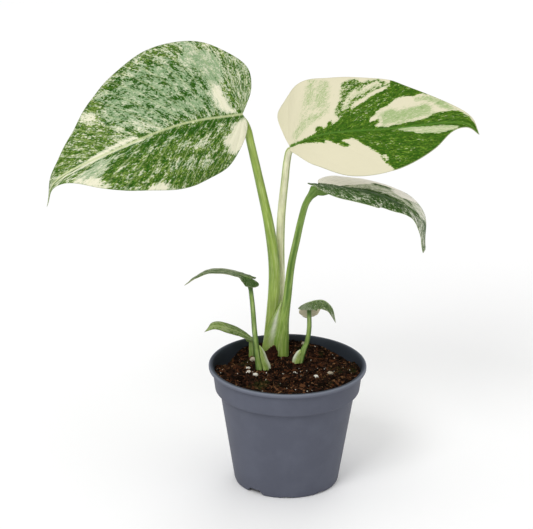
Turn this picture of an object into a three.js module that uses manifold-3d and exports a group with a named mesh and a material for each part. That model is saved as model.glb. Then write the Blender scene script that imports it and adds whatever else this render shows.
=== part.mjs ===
// A creme brulee monstera in its plastic nursery pot: three large variegated leaves and three
// small ones rise from a buried stem in a pot of bark and coir mix with grains of perlite.
// Millimetres, +Z up. The origin is the middle of the pot's underside, on the surface that it
// stands on. +X is the viewer's right and -Y faces the viewer.

import * as THREE from 'three';
import Module from 'manifold-3d';

const wasm = await Module();
wasm.setup();

const CLEARANCE = 0.3; // gap that neighbouring pieces keep
const STEM_CLEARANCE = 0.6; // gap round the buried stem and roots, whose facets twist
const JOINT_CLEARANCE = 0.5; // gap between a stalk and the underside of its blade

// The pot: a 12 cm moulded nursery pot with a rolled lip over a collar and a tapered body. It
// stands on a foot ring and a hub, with the floor raised between them.
const POT = {
  height: 94.5,
  lipRadius: 60,
  lipHeight: 3,
  lipRound: 0.9,
  collarTopRadius: 57.2,
  collarFootRadius: 55,
  collarDrop: 19.5,
  collarEdge: 0.7,
  shoulderRadius: 51.4,
  shoulderDrop: 1.5,
  footRadius: 39.7,
  footEdge: 1.8,
  footRingInner: 33,
  hubRadius: 11,
  hubEdge: 1.5,
  wall: 1.3,
  floorTop: 4,
  floorUnderside: 2.4,
  floorFillet: 2,
  segments: 36,
};

// The drain: slots through the foot ring with a hole in the floor behind each.
const DRAIN = {
  count: 9,
  turn: -14,
  slotWidth: 8,
  slotDepth: 5,
  slotHeight: 2.6,
  holeRadius: 2.6,
  holeCircle: 26,
  holeSides: 8,
};

// The potting mix: its level, and the places where it is heaped or has sunk.
const MIX_LEVEL = 89.6;
const MIX_RINGS = [10, 20, 29, 37, 44, 49, 53];
const MIX_SHOULDER = { radius: 53.6, drop: 11 };
const MIX_SWELLS = [
  { x: -4, y: 32, rise: 2.2, reach: 20 },
  { x: -44, y: 26, rise: -9.5, reach: 15 },
  { x: 42, y: 30, rise: -3.5, reach: 17 },
  { x: -36, y: -30, rise: -2.5, reach: 10 },
  { x: 20, y: -34, rise: 1, reach: 16 },
];
const LUMPS = { height: 0.8, pitchX: 11, pitchY: 9, skew: 2, drift: 23 };

// The buried stem: a crown under each group of leaf stalks, joined by runners, with roots.
const CROWNS = [
  { at: [-7.5, 33, 78.5], radii: [15, 13.5, 8] },
  { at: [-18.5, 1, 79.5], radii: [7.5, 5.5, 6] },
  { at: [7.5, 12, 80], radii: [5.5, 4.5, 5.5] },
  { at: [-28, 29.5, 80], radii: [5, 4.5, 5.5] },
];
const RUNNERS = [
  [[-6, 30, 78], [-14, 18, 75], [-18.5, 2, 77]],
  [[-4, 29, 78], [3, 20, 75], [7.5, 12, 78]],
  [[-8, 31, 78], [-18, 33, 75], [-28, 29.5, 78]],
];
const RUNNER_RADIUS = 3.6;
const RUNNER_FACETS = { steps: 4, sides: 6 };
const ROOTS = [
  [[-6, 31, 76], [-2, 38, 60], [6, 34, 40], [4, 26, 22]],
  [[-8, 29, 76], [-24, 30, 62], [-30, 20, 42], [-24, 12, 20]],
  [[-3, 28, 76], [14, 22, 62], [28, 12, 46], [30, -2, 26]],
  [[-18.5, 0, 77], [-26, -14, 60], [-24, -26, 40], [-12, -30, 18]],
  [[-17, 0, 77], [-6, -10, 58], [6, -22, 38], [16, -26, 20]],
  [[7, 11, 78], [20, 0, 64], [26, -16, 48], [34, -18, 30]],
];
const ROOT_RADII = [2.3, 0.9];
const ROOT_FACETS = { steps: 6, sides: 5 };
const CROWN_FACETS = { around: 8, rows: 6 };

// Each blade lies along its midrib. Its two halves start at the stalk's joint, with `across`
// pointing to the first half. An outline gives the distance along the midrib and the width to
// one side of it, from the joint round the lobe to the tip. A half is folded at the midrib by
// `fold` degrees at the joint and at the tip, positive towards the upper face, and it curls
// down by `curl` degrees for each millimetre of its width.
const BLADE_THICKNESS = 0.8;
const VEIN_START = 0.22; // share of the outline that the lobe takes before veins leave the midrib
const VEIN_STOPS = [0, 0.07, 0.35, 0.7, 1]; // places along each vein
const KEEL_TAIL = 3; // how far the midrib's underside reaches behind the joint
const KEEL_SLOPE = 1.4; // half width of the midrib's underside over its depth
const BLADES = {
  left_blade: {
    midrib: [
      [-35.5, 20, 287], [-79, 1.5, 285], [-125.5, -13.5, 270.3], [-171.3, -22, 247.5],
      [-180, -7.5, 222],
    ],
    across: [[-0.145, 0.507, 0.849], [-0.133, 0.806, 0.577]],
    halves: [
      {
        fold: [-1.5, -4.5],
        curl: 0.265,
        outline: [
          [0, 0], [-12, 19], [-13, 37], [13, 61.5], [51.5, 68.5], [94.5, 55], [124.5, 31.5],
          [152.5, 11],
        ],
      },
      {
        fold: [-19, -5],
        curl: 0.59,
        outline: [[0, 0], [-3, 8.5], [4, 26.5], [16, 42], [53.5, 48], [92, 37], [121, 23], [147, 6]],
      },
    ],
    keel: 2.4,
    steps: 22,
  },
  cream_blade: {
    midrib: [[0, 28, 259], [21.5, 19.5, 271], [76.5, 15, 278.5], [130.5, 11, 284], [140, 9, 276.5]],
    across: [[0.224, -0.856, -0.466], [0.083, -0.794, -0.602]],
    halves: [
      {
        fold: [7.5, 1],
        curl: 0.2,
        outline: [
          [0, 0], [0.5, 3.5], [7.5, 11.5], [24.5, 28.5], [48.5, 42.5], [82.5, 38.5], [111.5, 22.5],
          [129, 6.5],
        ],
      },
      {
        fold: [5.5, 2],
        curl: 0.2,
        outline: [
          [0, 0], [-5, 12.5], [-10, 32.5], [4.5, 51], [40, 54.5], [79, 46.5], [110, 27.5],
          [133.5, 10.5],
        ],
      },
    ],
    keel: 2.2,
    steps: 22,
  },
  right_blade: {
    midrib: [
      [21.5, 6, 234.5], [48.5, 3.5, 234], [74, 1.5, 228.5], [94.5, -8, 217], [99.5, -20.5, 193.5],
    ],
    across: [[0.124, -0.955, 0.27], [-0.125, -0.976, 0.179]],
    halves: [
      {
        fold: [17, -4],
        curl: 0.62,
        outline: [
          [0, 0], [-5.5, 11], [-5.5, 29], [7.5, 46], [30, 52.5], [55.5, 41.5], [76.5, 24.5],
          [94, 9.5],
        ],
      },
      {
        fold: [11.5, 9.5],
        curl: 0.175,
        outline: [
          [0, 0], [-1, 10.5], [-2, 27], [5, 43], [29.5, 46.5], [54, 37.5], [81, 23.5], [100, 10],
        ],
      },
    ],
    keel: 2,
    steps: 20,
  },
  small_left_blade: {
    midrib: [
      [-32, 4, 163.5], [-39.5, 3, 166], [-50, 0, 168.8], [-61, -4, 169.6], [-69.5, -7, 166.5],
      [-78, -9, 161],
    ],
    across: [[0, 0.96, -0.22], [0, 0.97, -0.22]],
    halves: [
      {
        fold: [3, 3],
        curl: 0.5,
        outline: [[0, 0], [-7, 2], [-9, 7], [-1, 13], [13, 15.5], [28, 12], [40, 6.5]],
      },
      {
        fold: [0, 2],
        curl: 0.3,
        outline: [[0, 0], [-9, 1.5], [-13, 6], [-6, 10.5], [7, 11.5], [20, 10], [36, 6]],
      },
    ],
    keel: 0.9,
    steps: 14,
  },
  young_blade: {
    midrib: [
      [-28.5, 30, 102], [-37.5, 30.5, 107], [-46, 27, 111.5], [-56, 24.5, 114.5], [-64, 18.5, 112],
    ],
    across: [[-0.267, 0.933, 0.242], [-0.055, 0.795, 0.604]],
    halves: [
      {
        fold: [-6.5, -1],
        curl: 1.1,
        outline: [[0, 0], [-3, 1.5], [-3, 4.5], [2.5, 7], [12, 8], [22, 6.5], [32, 4], [36.5, 1.5]],
      },
      {
        fold: [13, 0],
        curl: 0.85,
        outline: [[0, 0], [-3, 1.5], [-2.5, 3.5], [3, 5.5], [12, 6], [22, 5], [32, 3], [38, 1]],
      },
    ],
    keel: 0.6,
    steps: 12,
  },
  small_right_blade: {
    midrib: [[15.5, 16, 138.5], [21, 14, 141], [27, 11, 142], [33, 8, 137.5], [36, 5, 126.5]],
    across: [[0.1, -1, 0], [0.3, -0.95, -0.2]],
    halves: [
      {
        fold: [-24, -8],
        curl: 0.3,
        outline: [[0, 0], [1, 2.5], [4, 6.5], [9, 9], [15, 9], [22, 6.5], [28, 3]],
      },
      {
        fold: [-58, -20],
        curl: 0.4,
        outline: [[0, 0], [-6, 2.5], [-13, 8], [-11, 15.5], [-3, 16], [5, 11.5], [13, 7.5], [24, 3.5]],
      },
    ],
    keel: 0.7,
    steps: 14,
  },
};

// The leaf stalks, from inside the crown to the joint under the blade. A girth entry is the
// place along the stalk from 0 to 1, then its half width across the view and its half depth.
// The wide feet are the sheaths that clasp the next stalk.
const STALKS = {
  left_stalk: {
    path: [
      [-15.6, 33, 80], [-15, 33, 91.7], [-14, 33, 104.2], [-12.3, 33, 125], [-11.1, 33, 141.5],
      [-10.9, 33, 158],
      [-12.2, 32.8, 174.4], [-16, 32, 198.9], [-19.4, 31, 215.4], [-24.7, 29, 240], [-30, 26.5, 264.5],
      [-34.4, 23, 282.9],
    ],
    girth: [[0, 4.6, 4.2], [0.5, 4.1, 3.9], [0.62, 3.6, 3.5], [0.76, 3.25, 3.2], [1, 3, 3]],
    blade: 'left_blade',
    steps: 20,
  },
  cream_stalk: {
    path: [
      [-6.8, 41, 80], [-6.5, 41, 95], [-6.2, 41.5, 138], [-6.6, 39.5, 178], [-6, 37, 201.5],
      [-2.3, 30.5, 243.7],
      [0, 28.2, 257.8],
    ],
    girth: [[0, 4, 3.6], [0.45, 3.4, 3.3], [0.75, 3.1, 3.1], [1, 2.8, 2.8]],
    blade: 'cream_blade',
    steps: 18,
  },
  right_stalk: {
    path: [
      [-5.6, 26.5, 80], [-5.5, 26.5, 92.9], [-5.3, 26.5, 102.9], [-3.5, 26.5, 119.5], [-1, 26.5, 136],
      [0.9, 26, 156.7], [2.6, 24.3, 169.7], [5.8, 21.3, 187], [9.2, 17, 204.8],
      [13.4, 12.5, 222.4], [16.8, 9, 229],
      [21.6, 6.3, 233.8],
    ],
    girth: [
      [0, 6.6, 5], [0.16, 6.1, 4.6], [0.24, 4.5, 4], [0.34, 3.2, 3.1], [0.6, 2.8, 2.8],
      [1, 2.7, 2.7],
    ],
    blade: 'right_blade',
    steps: 22,
  },
  small_left_stalk: {
    path: [
      [-15.7, 1, 80], [-17.9, 1, 90.2], [-20.6, 1, 99.3], [-23.4, 1, 108.3], [-25.3, 1.2, 121.4],
      [-26.7, 1.8, 137.4],
      [-28.2, 2.8, 153.3], [-32, 4, 163.2],
    ],
    girth: [[0, 5.4, 3], [0.13, 5, 3], [0.3, 2.6, 2.2], [0.45, 2, 1.9], [1, 1.9, 1.8]],
    blade: 'small_left_blade',
    steps: 14,
  },
  young_stalk: {
    path: [[-27.7, 29.5, 80], [-27.7, 29.5, 90], [-28, 29.7, 96], [-28.5, 30, 101.6]],
    girth: [[0, 2.6, 2.4], [1, 1.9, 1.9]],
    blade: 'young_blade',
    steps: 6,
  },
  small_right_stalk: {
    path: [
      [6, 11.8, 80], [7.7, 12, 89.2], [9.4, 12.3, 95.4], [12.6, 13.5, 101.9], [15.1, 14.3, 108.2],
      [16.3, 15.3, 117.7],
      [15.9, 16, 138],
    ],
    girth: [[0, 3.6, 2.6], [0.2, 3.6, 2.5], [0.4, 2.1, 2], [0.5, 1.8, 1.8], [1, 1.8, 1.8]],
    blade: 'small_right_blade',
    steps: 12,
  },
};
const STALK_SIDES = 8;
const STALK_END_REACH = 2.4; // half width of a stalk's end that a folded lobe has to clear
const JOINT_SPACE = 24; // size of the box that trims a stalk's end

// A bark chunk that leans on the main stalks, and the grains of perlite that show in the mix.
const GRAIN_DENTS = { pitch: 6, depth: 0.1 };
const BARK = { at: [-12, 21, 92], radii: [4.3, 3.6, 7.5] };
const PERLITE_SHAPE = [1.15, 0.9, 0.85];
const PERLITE = [
  { at: [-24, -13.5, 89.6], size: 2.1 },
  { at: [-29.5, -7, 89.4], size: 1.5 },
  { at: [-29.8, 1, 89.2], size: 1.4 },
  { at: [-26.5, 17, 89.6], size: 2 },
  { at: [5.5, -8, 89.8], size: 1.1 },
  { at: [21.5, -15.5, 90], size: 1.5 },
  { at: [32.5, -7.5, 89.4], size: 1.8 },
  { at: [13, 48, 89.6], size: 2.4 },
];

function material(name, color, roughness) {
  return new THREE.MeshStandardMaterial({ name, color, roughness, metalness: 0 });
}

const POT_PLASTIC = material('grey_polypropylene', 0x5b5f6a, 0.5);
const MIX = material('bark_and_coir_mix', 0x35251b, 1);
const STEM = material('underground_stem', 0x8a6b45, 0.8);
const GREEN_BLADE = material('green_mottled_leaf', 0x55803a, 0.42);
const CREAM_BLADE = material('cream_variegated_leaf', 0xd9d5ac, 0.42);
const GREEN_STALK = material('green_leaf_stalk', 0x86a04a, 0.45);
const CREAM_STALK = material('cream_leaf_stalk', 0xc9cc98, 0.45);
const BARK_CHUNK = material('pine_bark', 0x4f2a1a, 0.95);
const PERLITE_GRAIN = material('expanded_perlite', 0xddd8cc, 0.9);

// Makes a closed geometry from points and triangles. Points at one place become one, and
// triangles that this leaves without area are dropped.
function closedGeometry(points, triangles) {
  const seen = new Map();
  const positions = [];
  const merged = points.map((p) => {
    const key = p.toArray().map((v) => Math.round(v * 1e4)).join(' ');
    if (!seen.has(key)) {
      seen.set(key, seen.size);
      positions.push(...p.toArray());
    }
    return seen.get(key);
  });
  const index = [];
  for (const corners of triangles) {
    const [a, b, c] = corners.map((i) => merged[i]);
    if (a !== b && b !== c && c !== a) index.push(a, b, c);
  }
  const geometry = new THREE.BufferGeometry();
  geometry.setAttribute('position', new THREE.Float32BufferAttribute(positions, 3));
  geometry.setIndex(index);
  return geometry;
}

// Merges the seams of one of three.js's own geometries.
function welded(geometry) {
  const position = geometry.getAttribute('position');
  const points = [];
  for (let i = 0; i < position.count; i += 1) {
    points.push(new THREE.Vector3().fromBufferAttribute(position, i));
  }
  const corners = geometry.index ? Array.from(geometry.index.array) : points.map((_, i) => i);
  const triangles = [];
  for (let i = 0; i < corners.length; i += 3) triangles.push(corners.slice(i, i + 3));
  return closedGeometry(points, triangles);
}

function toSolid(geometry) {
  const vertProperties = new Float32Array(geometry.getAttribute('position').array);
  const triVerts = new Uint32Array(geometry.index.array);
  return new wasm.Manifold(new wasm.Mesh({ numProp: 3, vertProperties, triVerts }));
}

function toGeometry(solid) {
  const mesh = solid.getMesh();
  const geometry = new THREE.BufferGeometry();
  geometry.setAttribute('position', new THREE.Float32BufferAttribute(mesh.vertProperties, 3));
  geometry.setIndex(Array.from(mesh.triVerts));
  return geometry;
}

function joined(geometries) {
  return geometries.map(toSolid).reduce((whole, piece) => whole.add(piece));
}

// The largest of the pieces that a cut leaves.
function mainPiece(solid) {
  const pieces = solid.decompose();
  return pieces.reduce((best, piece) => (piece.volume() > best.volume() ? piece : best));
}

function piece(name, geometry, finish) {
  const mesh = new THREE.Mesh(geometry, finish);
  mesh.name = name;
  geometry.computeVertexNormals();
  return mesh;
}

// A solid skinned over rings of points, with each end closed by a fan round its middle.
function skinned(rings) {
  const count = rings[0].length;
  const points = rings.flat();
  const triangles = [];
  for (let r = 0; r + 1 < rings.length; r += 1) {
    for (let k = 0; k < count; k += 1) {
      const a = r * count + k;
      const b = r * count + ((k + 1) % count);
      triangles.push([a, b, b + count], [a, b + count, a + count]);
    }
  }
  for (const [ring, flip] of [[0, true], [rings.length - 1, false]]) {
    const middle = new THREE.Vector3();
    rings[ring].forEach((p) => middle.addScaledVector(p, 1 / count));
    points.push(middle);
    for (let k = 0; k < count; k += 1) {
      const a = ring * count + k;
      const b = ring * count + ((k + 1) % count);
      triangles.push(flip ? [b, a, points.length - 1] : [a, b, points.length - 1]);
    }
  }
  return closedGeometry(points, triangles);
}

function interpolate(table, at) {
  const next = Math.max(1, table.findIndex((row) => row[0] >= at));
  const [low, high] = [table[next - 1], table[next]];
  const share = (at - low[0]) / (high[0] - low[0]);
  return low.slice(1).map((value, i) => THREE.MathUtils.lerp(value, high[i + 1], share));
}

// A tapering stalk or root along a smooth path. Its section is an ellipse with the half width
// and half depth that the girth table gives, `grow` larger all round.
function stem(path, girth, steps, sides, grow) {
  const curve = new THREE.CatmullRomCurve3(path.map((p) => new THREE.Vector3(...p)));
  const rings = [];
  for (let i = 0; i <= steps; i += 1) {
    const along = i / steps;
    const [width, depth] = interpolate(girth, along).map((v) => v + grow);
    const tangent = curve.getTangentAt(along);
    const depthAxis = new THREE.Vector3(0, 1, 0).addScaledVector(tangent, -tangent.y).normalize();
    const widthAxis = new THREE.Vector3().crossVectors(depthAxis, tangent);
    const centre = curve.getPointAt(along);
    if (i === 0) centre.addScaledVector(tangent, -grow);
    if (i === steps) centre.addScaledVector(tangent, grow);
    rings.push(Array.from({ length: sides }, (_, k) => {
      const angle = (2 * Math.PI * k) / sides;
      return centre.clone()
        .addScaledVector(widthAxis, width * Math.cos(angle))
        .addScaledVector(depthAxis, depth * Math.sin(angle));
    }));
  }
  return skinned(rings);
}

// The pot: one lathed shell, with drain slots cut through its foot ring and holes in its floor.
function pot() {
  const p = POT;
  const collarFoot = p.height - p.collarDrop;
  const lipFoot = p.height - p.lipHeight;
  const outside = [
    [0, 0],
    [p.hubRadius, 0],
    [p.hubRadius + p.hubEdge, p.floorUnderside],
    [p.footRingInner - p.hubEdge, p.floorUnderside],
    [p.footRingInner, 0],
    [p.footRadius - p.footEdge, 0],
    [p.footRadius, p.footEdge],
    [p.shoulderRadius, collarFoot - p.shoulderDrop],
    [p.collarFootRadius - p.collarEdge, collarFoot],
    [p.collarFootRadius, collarFoot + p.collarEdge],
    [p.collarTopRadius, lipFoot],
    [p.lipRadius - p.lipRound, lipFoot],
    [p.lipRadius, lipFoot + p.lipRound],
    [p.lipRadius, p.height - p.lipRound],
    [p.lipRadius - p.lipRound, p.height],
  ];
  const inside = [
    [p.collarTopRadius, p.height],
    [p.collarTopRadius - p.wall, lipFoot],
    [p.collarFootRadius - p.wall, collarFoot + p.shoulderDrop],
    [p.shoulderRadius - p.wall, collarFoot - p.shoulderDrop],
    [p.footRadius - p.wall, p.floorTop + p.floorFillet],
    [p.footRadius - p.wall - p.floorFillet, p.floorTop],
    [0, p.floorTop],
  ];
  const profile = [...outside, ...inside].map(([radius, z]) => new THREE.Vector2(radius, z));
  const lathe = new THREE.LatheGeometry(profile, p.segments);
  lathe.rotateX(Math.PI / 2);
  let shell = toSolid(welded(lathe));
  for (let i = 0; i < DRAIN.count; i += 1) {
    const turn = THREE.MathUtils.degToRad(DRAIN.turn + (360 * i) / DRAIN.count);
    const slot = new THREE.BoxGeometry(DRAIN.slotWidth, DRAIN.slotDepth * 2, DRAIN.slotHeight * 2);
    slot.translate(0, -p.footRadius, 0);
    slot.rotateZ(turn);
    const radius = DRAIN.holeRadius;
    const hole = new THREE.CylinderGeometry(radius, radius, 3 * p.floorTop, DRAIN.holeSides);
    hole.rotateX(Math.PI / 2);
    hole.translate(0, -DRAIN.holeCircle, 0);
    hole.rotateZ(turn);
    shell = shell.subtract(toSolid(welded(slot))).subtract(toSolid(welded(hole)));
  }
  return piece('pot', toGeometry(shell), POT_PLASTIC);
}

// The level of the mix at a place: heaped round the stalks, sunk along the back left wall.
function mixLevel(x, y) {
  const swell = MIX_SWELLS.reduce((sum, s) => {
    const distance = Math.hypot(x - s.x, y - s.y) / s.reach;
    return sum + s.rise * Math.exp(-distance * distance);
  }, 0);
  const across = Math.sin(x / LUMPS.pitchX + LUMPS.skew * Math.sin(y / LUMPS.pitchY));
  const along = Math.cos(y / LUMPS.pitchY - x / LUMPS.drift);
  return MIX_LEVEL + swell + LUMPS.height * across * along;
}

// The mix fills the pot to just under its lip, and stalks, roots, bark and perlite stand in
// plain holes in it.
function pottingMix(buried) {
  const p = POT;
  const collarFoot = p.height - p.collarDrop;
  const inset = p.wall + 2 * CLEARANCE;
  const ring = (radius, level) => Array.from({ length: p.segments }, (_, k) => {
    const angle = (2 * Math.PI * k) / p.segments;
    const x = radius * Math.cos(angle);
    const y = radius * Math.sin(angle);
    return new THREE.Vector3(x, y, level ?? mixLevel(x, y));
  });
  const rings = [
    ring(p.footRadius - inset - p.floorFillet, p.floorTop + CLEARANCE),
    ring(p.footRadius - inset, p.floorTop + p.floorFillet + CLEARANCE),
    ring(p.shoulderRadius - inset, collarFoot - p.shoulderDrop),
    ring(p.collarFootRadius - inset, collarFoot + p.shoulderDrop + CLEARANCE),
    ring(MIX_SHOULDER.radius, MIX_LEVEL - MIX_SHOULDER.drop),
    ...MIX_RINGS.toReversed().map((radius) => ring(radius)),
  ];
  let mix = toSolid(skinned(rings));
  for (const thing of buried) mix = mix.subtract(thing);
  return piece('potting_mix', toGeometry(mainPiece(mix)), MIX);
}

function ellipsoid(at, radii, grow) {
  const ball = new THREE.SphereGeometry(1, CROWN_FACETS.around, CROWN_FACETS.rows);
  ball.scale(...radii.map((r) => r + grow));
  ball.translate(...at);
  return welded(ball);
}

// Crowns, runners and roots as one body, `grow` larger all round.
function stemAndRoots(grow) {
  const rootGirth = [[0, ROOT_RADII[0], ROOT_RADII[0]], [1, ROOT_RADII[1], ROOT_RADII[1]]];
  const runnerGirth = [[0, RUNNER_RADIUS, RUNNER_RADIUS], [1, RUNNER_RADIUS, RUNNER_RADIUS]];
  return joined([
    ...CROWNS.map((crown) => ellipsoid(crown.at, crown.radii, grow)),
    ...RUNNERS.map((path) => stem(path, runnerGirth, RUNNER_FACETS.steps, RUNNER_FACETS.sides, grow)),
    ...ROOTS.map((path) => stem(path, rootGirth, ROOT_FACETS.steps, ROOT_FACETS.sides, grow)),
  ]);
}

// One blade as a surface: `point` gives a place by its distance along the midrib, its width
// to one side and its height over the middle of the blade's thickness.
class BladeSurface {
  constructor(spec) {
    this.spec = spec;
    this.midrib = new THREE.CatmullRomCurve3(spec.midrib.map((p) => new THREE.Vector3(...p)));
    this.length = this.midrib.getLength();
    this.across = spec.across.map((v) => new THREE.Vector3(...v));
    this.edges = spec.halves.map(({ outline }) => new THREE.CatmullRomCurve3(
      [...outline, [this.length, 0]].map(([along, width]) => new THREE.Vector3(along, width, 0)),
    ));
  }

  point(half, along, width, height) {
    const share = THREE.MathUtils.clamp(along / this.length, 0, 1);
    const tangent = this.midrib.getTangentAt(share);
    const place = this.midrib.getPointAt(share).addScaledVector(tangent, along - share * this.length);
    const sideways = this.across[0].clone().lerp(this.across[1], share);
    sideways.addScaledVector(tangent, -sideways.dot(tangent)).normalize();
    const up = new THREE.Vector3().crossVectors(sideways, tangent);
    if (half === 1) sideways.negate();
    const { fold, curl } = this.spec.halves[half];
    const start = THREE.MathUtils.degToRad(THREE.MathUtils.lerp(fold[0], fold[1], share));
    const bend = THREE.MathUtils.degToRad(curl);
    const end = start - bend * width;
    place.addScaledVector(sideways, (Math.sin(start) - Math.sin(end)) / bend);
    place.addScaledVector(up, (Math.cos(end) - Math.cos(start)) / bend);
    const lean = end * Math.min(1, width / BLADE_THICKNESS);
    place.addScaledVector(up, height * Math.cos(lean));
    return place.addScaledVector(sideways, -height * Math.sin(lean));
  }
}

// How far the midrib stands out under the blade.
function keelDepth(spec, along, width, length) {
  const fade = along < 0 ? 1 + along / KEEL_TAIL : 1 - along / length;
  return spec.keel * Math.max(0, fade) * Math.max(0, 1 - width / (KEEL_SLOPE * spec.keel));
}

// A blade with the midrib standing out underneath. Both faces are split alike, along the
// side veins.
function bladeGeometry(spec) {
  const surface = new BladeSurface(spec);
  const points = [];
  const triangles = [];
  const stops = VEIN_STOPS.length;
  for (const half of [0, 1]) {
    for (const face of [1, -1]) {
      const first = points.length;
      for (let i = 0; i <= spec.steps; i += 1) {
        const edge = surface.edges[half].getPoint(i / spec.steps);
        const root = surface.length * Math.max(0, (i / spec.steps - VEIN_START) / (1 - VEIN_START));
        for (const stop of VEIN_STOPS) {
          const along = THREE.MathUtils.lerp(root, edge.x, stop);
          const width = Math.max(0, edge.y) * stop;
          const keel = face < 0 ? keelDepth(spec, along, width, surface.length) : 0;
          points.push(surface.point(half, along, width, face * (BLADE_THICKNESS / 2 + keel)));
        }
      }
      for (let i = 0; i < spec.steps; i += 1) {
        for (let j = 0; j + 1 < stops; j += 1) {
          const a = first + i * stops + j;
          const quad = [[a, a + stops, a + stops + 1], [a, a + stops + 1, a + 1]];
          const outward = (face > 0) === (half === 1);
          triangles.push(...(outward ? quad : quad.map(([p, q, r]) => [p, r, q])));
        }
      }
    }
    const top = points.length - 2 * (spec.steps + 1) * stops;
    const bottom = points.length - (spec.steps + 1) * stops;
    for (let i = 0; i < spec.steps; i += 1) {
      const a = top + i * stops + stops - 1;
      const b = bottom + i * stops + stops - 1;
      const rim = [[a, a + stops, b + stops], [a, b + stops, b]];
      triangles.push(...(half === 0 ? rim.map(([p, q, r]) => [p, r, q]) : rim));
    }
  }
  return closedGeometry(points, triangles);
}

// The space over a stalk's end, down to a plane that clears the midrib and any lobe folded down
// beside it.
function spaceOverStalk(spec) {
  const surface = new BladeSurface(spec);
  const lowestFold = Math.min(0, ...spec.halves.map(({ fold }) => fold[0]));
  const lobeDrop = STALK_END_REACH * Math.sin(THREE.MathUtils.degToRad(-lowestFold));
  const depth = BLADE_THICKNESS / 2 + spec.keel + lobeDrop + JOINT_CLEARANCE;
  const joint = surface.point(0, 0, 0, 0);
  const under = surface.point(0, 0, 0, -depth);
  const box = new THREE.BoxGeometry(JOINT_SPACE, JOINT_SPACE, JOINT_SPACE);
  box.translate(0, 0, JOINT_SPACE / 2);
  const up = joint.clone().sub(under).normalize();
  box.applyQuaternion(new THREE.Quaternion().setFromUnitVectors(new THREE.Vector3(0, 0, 1), up));
  box.translate(...under.toArray());
  return toSolid(welded(box));
}

// A pebble or chunk: a faceted ball with dents that follow from its place.
function grain(at, radii, grow) {
  const ball = welded(new THREE.IcosahedronGeometry(1, 1));
  const position = ball.getAttribute('position');
  const p = new THREE.Vector3();
  for (let i = 0; i < position.count; i += 1) {
    p.fromBufferAttribute(position, i);
    const across = Math.sin(GRAIN_DENTS.pitch * p.x + at[0]);
    const along = Math.cos(GRAIN_DENTS.pitch * (p.y - p.z) + at[1]);
    p.multiplyScalar(1 + GRAIN_DENTS.depth * across * along);
    const place = p.toArray().map((v, axis) => v * radii[axis] + Math.sign(v) * grow + at[axis]);
    position.setXYZ(i, ...place);
  }
  return ball;
}

function perliteRadii(size) {
  return PERLITE_SHAPE.map((share) => share * size);
}

const model = new THREE.Group();
model.add(pot());

const stalkSolids = Object.entries(STALKS).map(([name, s]) => {
  const whole = toSolid(stem(s.path, s.girth, s.steps, STALK_SIDES, 0));
  return [name, whole.subtract(spaceOverStalk(BLADES[s.blade]))];
});
const stalkHoles = Object.values(STALKS).map((s) => (
  toSolid(stem(s.path, s.girth, s.steps, STALK_SIDES, CLEARANCE))
));

let rootBody = stemAndRoots(0);
for (const hole of stalkHoles) rootBody = rootBody.subtract(hole);
model.add(piece('stem_and_roots', toGeometry(mainPiece(rootBody)), STEM));

for (const [name, solid] of stalkSolids) {
  model.add(piece(name, toGeometry(solid), name === 'cream_stalk' ? CREAM_STALK : GREEN_STALK));
}
for (const [name, spec] of Object.entries(BLADES)) {
  model.add(piece(name, bladeGeometry(spec), name === 'cream_blade' ? CREAM_BLADE : GREEN_BLADE));
}

let bark = toSolid(grain(BARK.at, BARK.radii, 0));
for (const hole of stalkHoles) bark = bark.subtract(hole);
model.add(piece('bark_chunk', toGeometry(mainPiece(bark)), BARK_CHUNK));

PERLITE.forEach(({ at, size }, i) => {
  model.add(piece(`perlite_${i + 1}`, grain(at, perliteRadii(size), 0), PERLITE_GRAIN));
});

model.add(pottingMix([
  ...stalkHoles,
  stemAndRoots(STEM_CLEARANCE),
  toSolid(grain(BARK.at, BARK.radii, CLEARANCE)),
  ...PERLITE.map(({ at, size }) => toSolid(grain(at, perliteRadii(size), CLEARANCE))),
]));

export default model;
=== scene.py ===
# %% [markdown]
# # A creme brulee monstera in its nursery pot
# The solids of the plant and its pot come in first, as a fixed frame. Each visible piece is then
# made again with the detail that the solids leave out, in the same place and from the same
# measurements. Lengths in this lesson are millimetres; a mesh is turned to metres once, when it
# is made.

import math

import bmesh
import bpy
import numpy as np
from mathutils import Matrix, Vector, noise


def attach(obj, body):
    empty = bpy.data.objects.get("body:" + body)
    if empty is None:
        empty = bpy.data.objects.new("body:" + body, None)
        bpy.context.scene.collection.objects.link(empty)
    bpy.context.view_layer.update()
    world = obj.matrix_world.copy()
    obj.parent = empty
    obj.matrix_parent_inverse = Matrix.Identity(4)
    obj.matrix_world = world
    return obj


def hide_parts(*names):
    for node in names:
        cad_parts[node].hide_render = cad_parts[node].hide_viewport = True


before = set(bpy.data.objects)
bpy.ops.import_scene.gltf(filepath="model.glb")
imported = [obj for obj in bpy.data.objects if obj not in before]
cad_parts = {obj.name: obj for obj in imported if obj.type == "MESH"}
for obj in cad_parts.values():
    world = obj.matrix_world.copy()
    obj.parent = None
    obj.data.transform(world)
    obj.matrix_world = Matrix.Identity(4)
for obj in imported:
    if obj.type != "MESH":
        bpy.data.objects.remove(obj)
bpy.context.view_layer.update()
MM = 0.001
print("solids:", ", ".join(sorted(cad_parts)))

# %% [markdown]
# ## Helpers for colours, nodes and pieces
# Colours are written as the hex values that a paint chart gives and turned to linear light once.
# One small function adds any node with its settings and links, so that a material reads as a
# list of steps. Two more turn points in millimetres into a finished object that rides on the
# frame and stands for its solids.


# %% Colour and node helpers
def linear(colour):
    """An sRGB hex colour as linear RGBA, by the sRGB curve: a straight foot, then a power."""
    parts = [int(colour[i : i + 2], 16) / 255 for i in (1, 3, 5)]
    return [c / 12.92 if c <= 0.04045 else ((c + 0.055) / 1.055) ** 2.4 for c in parts] + [1]


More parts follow.
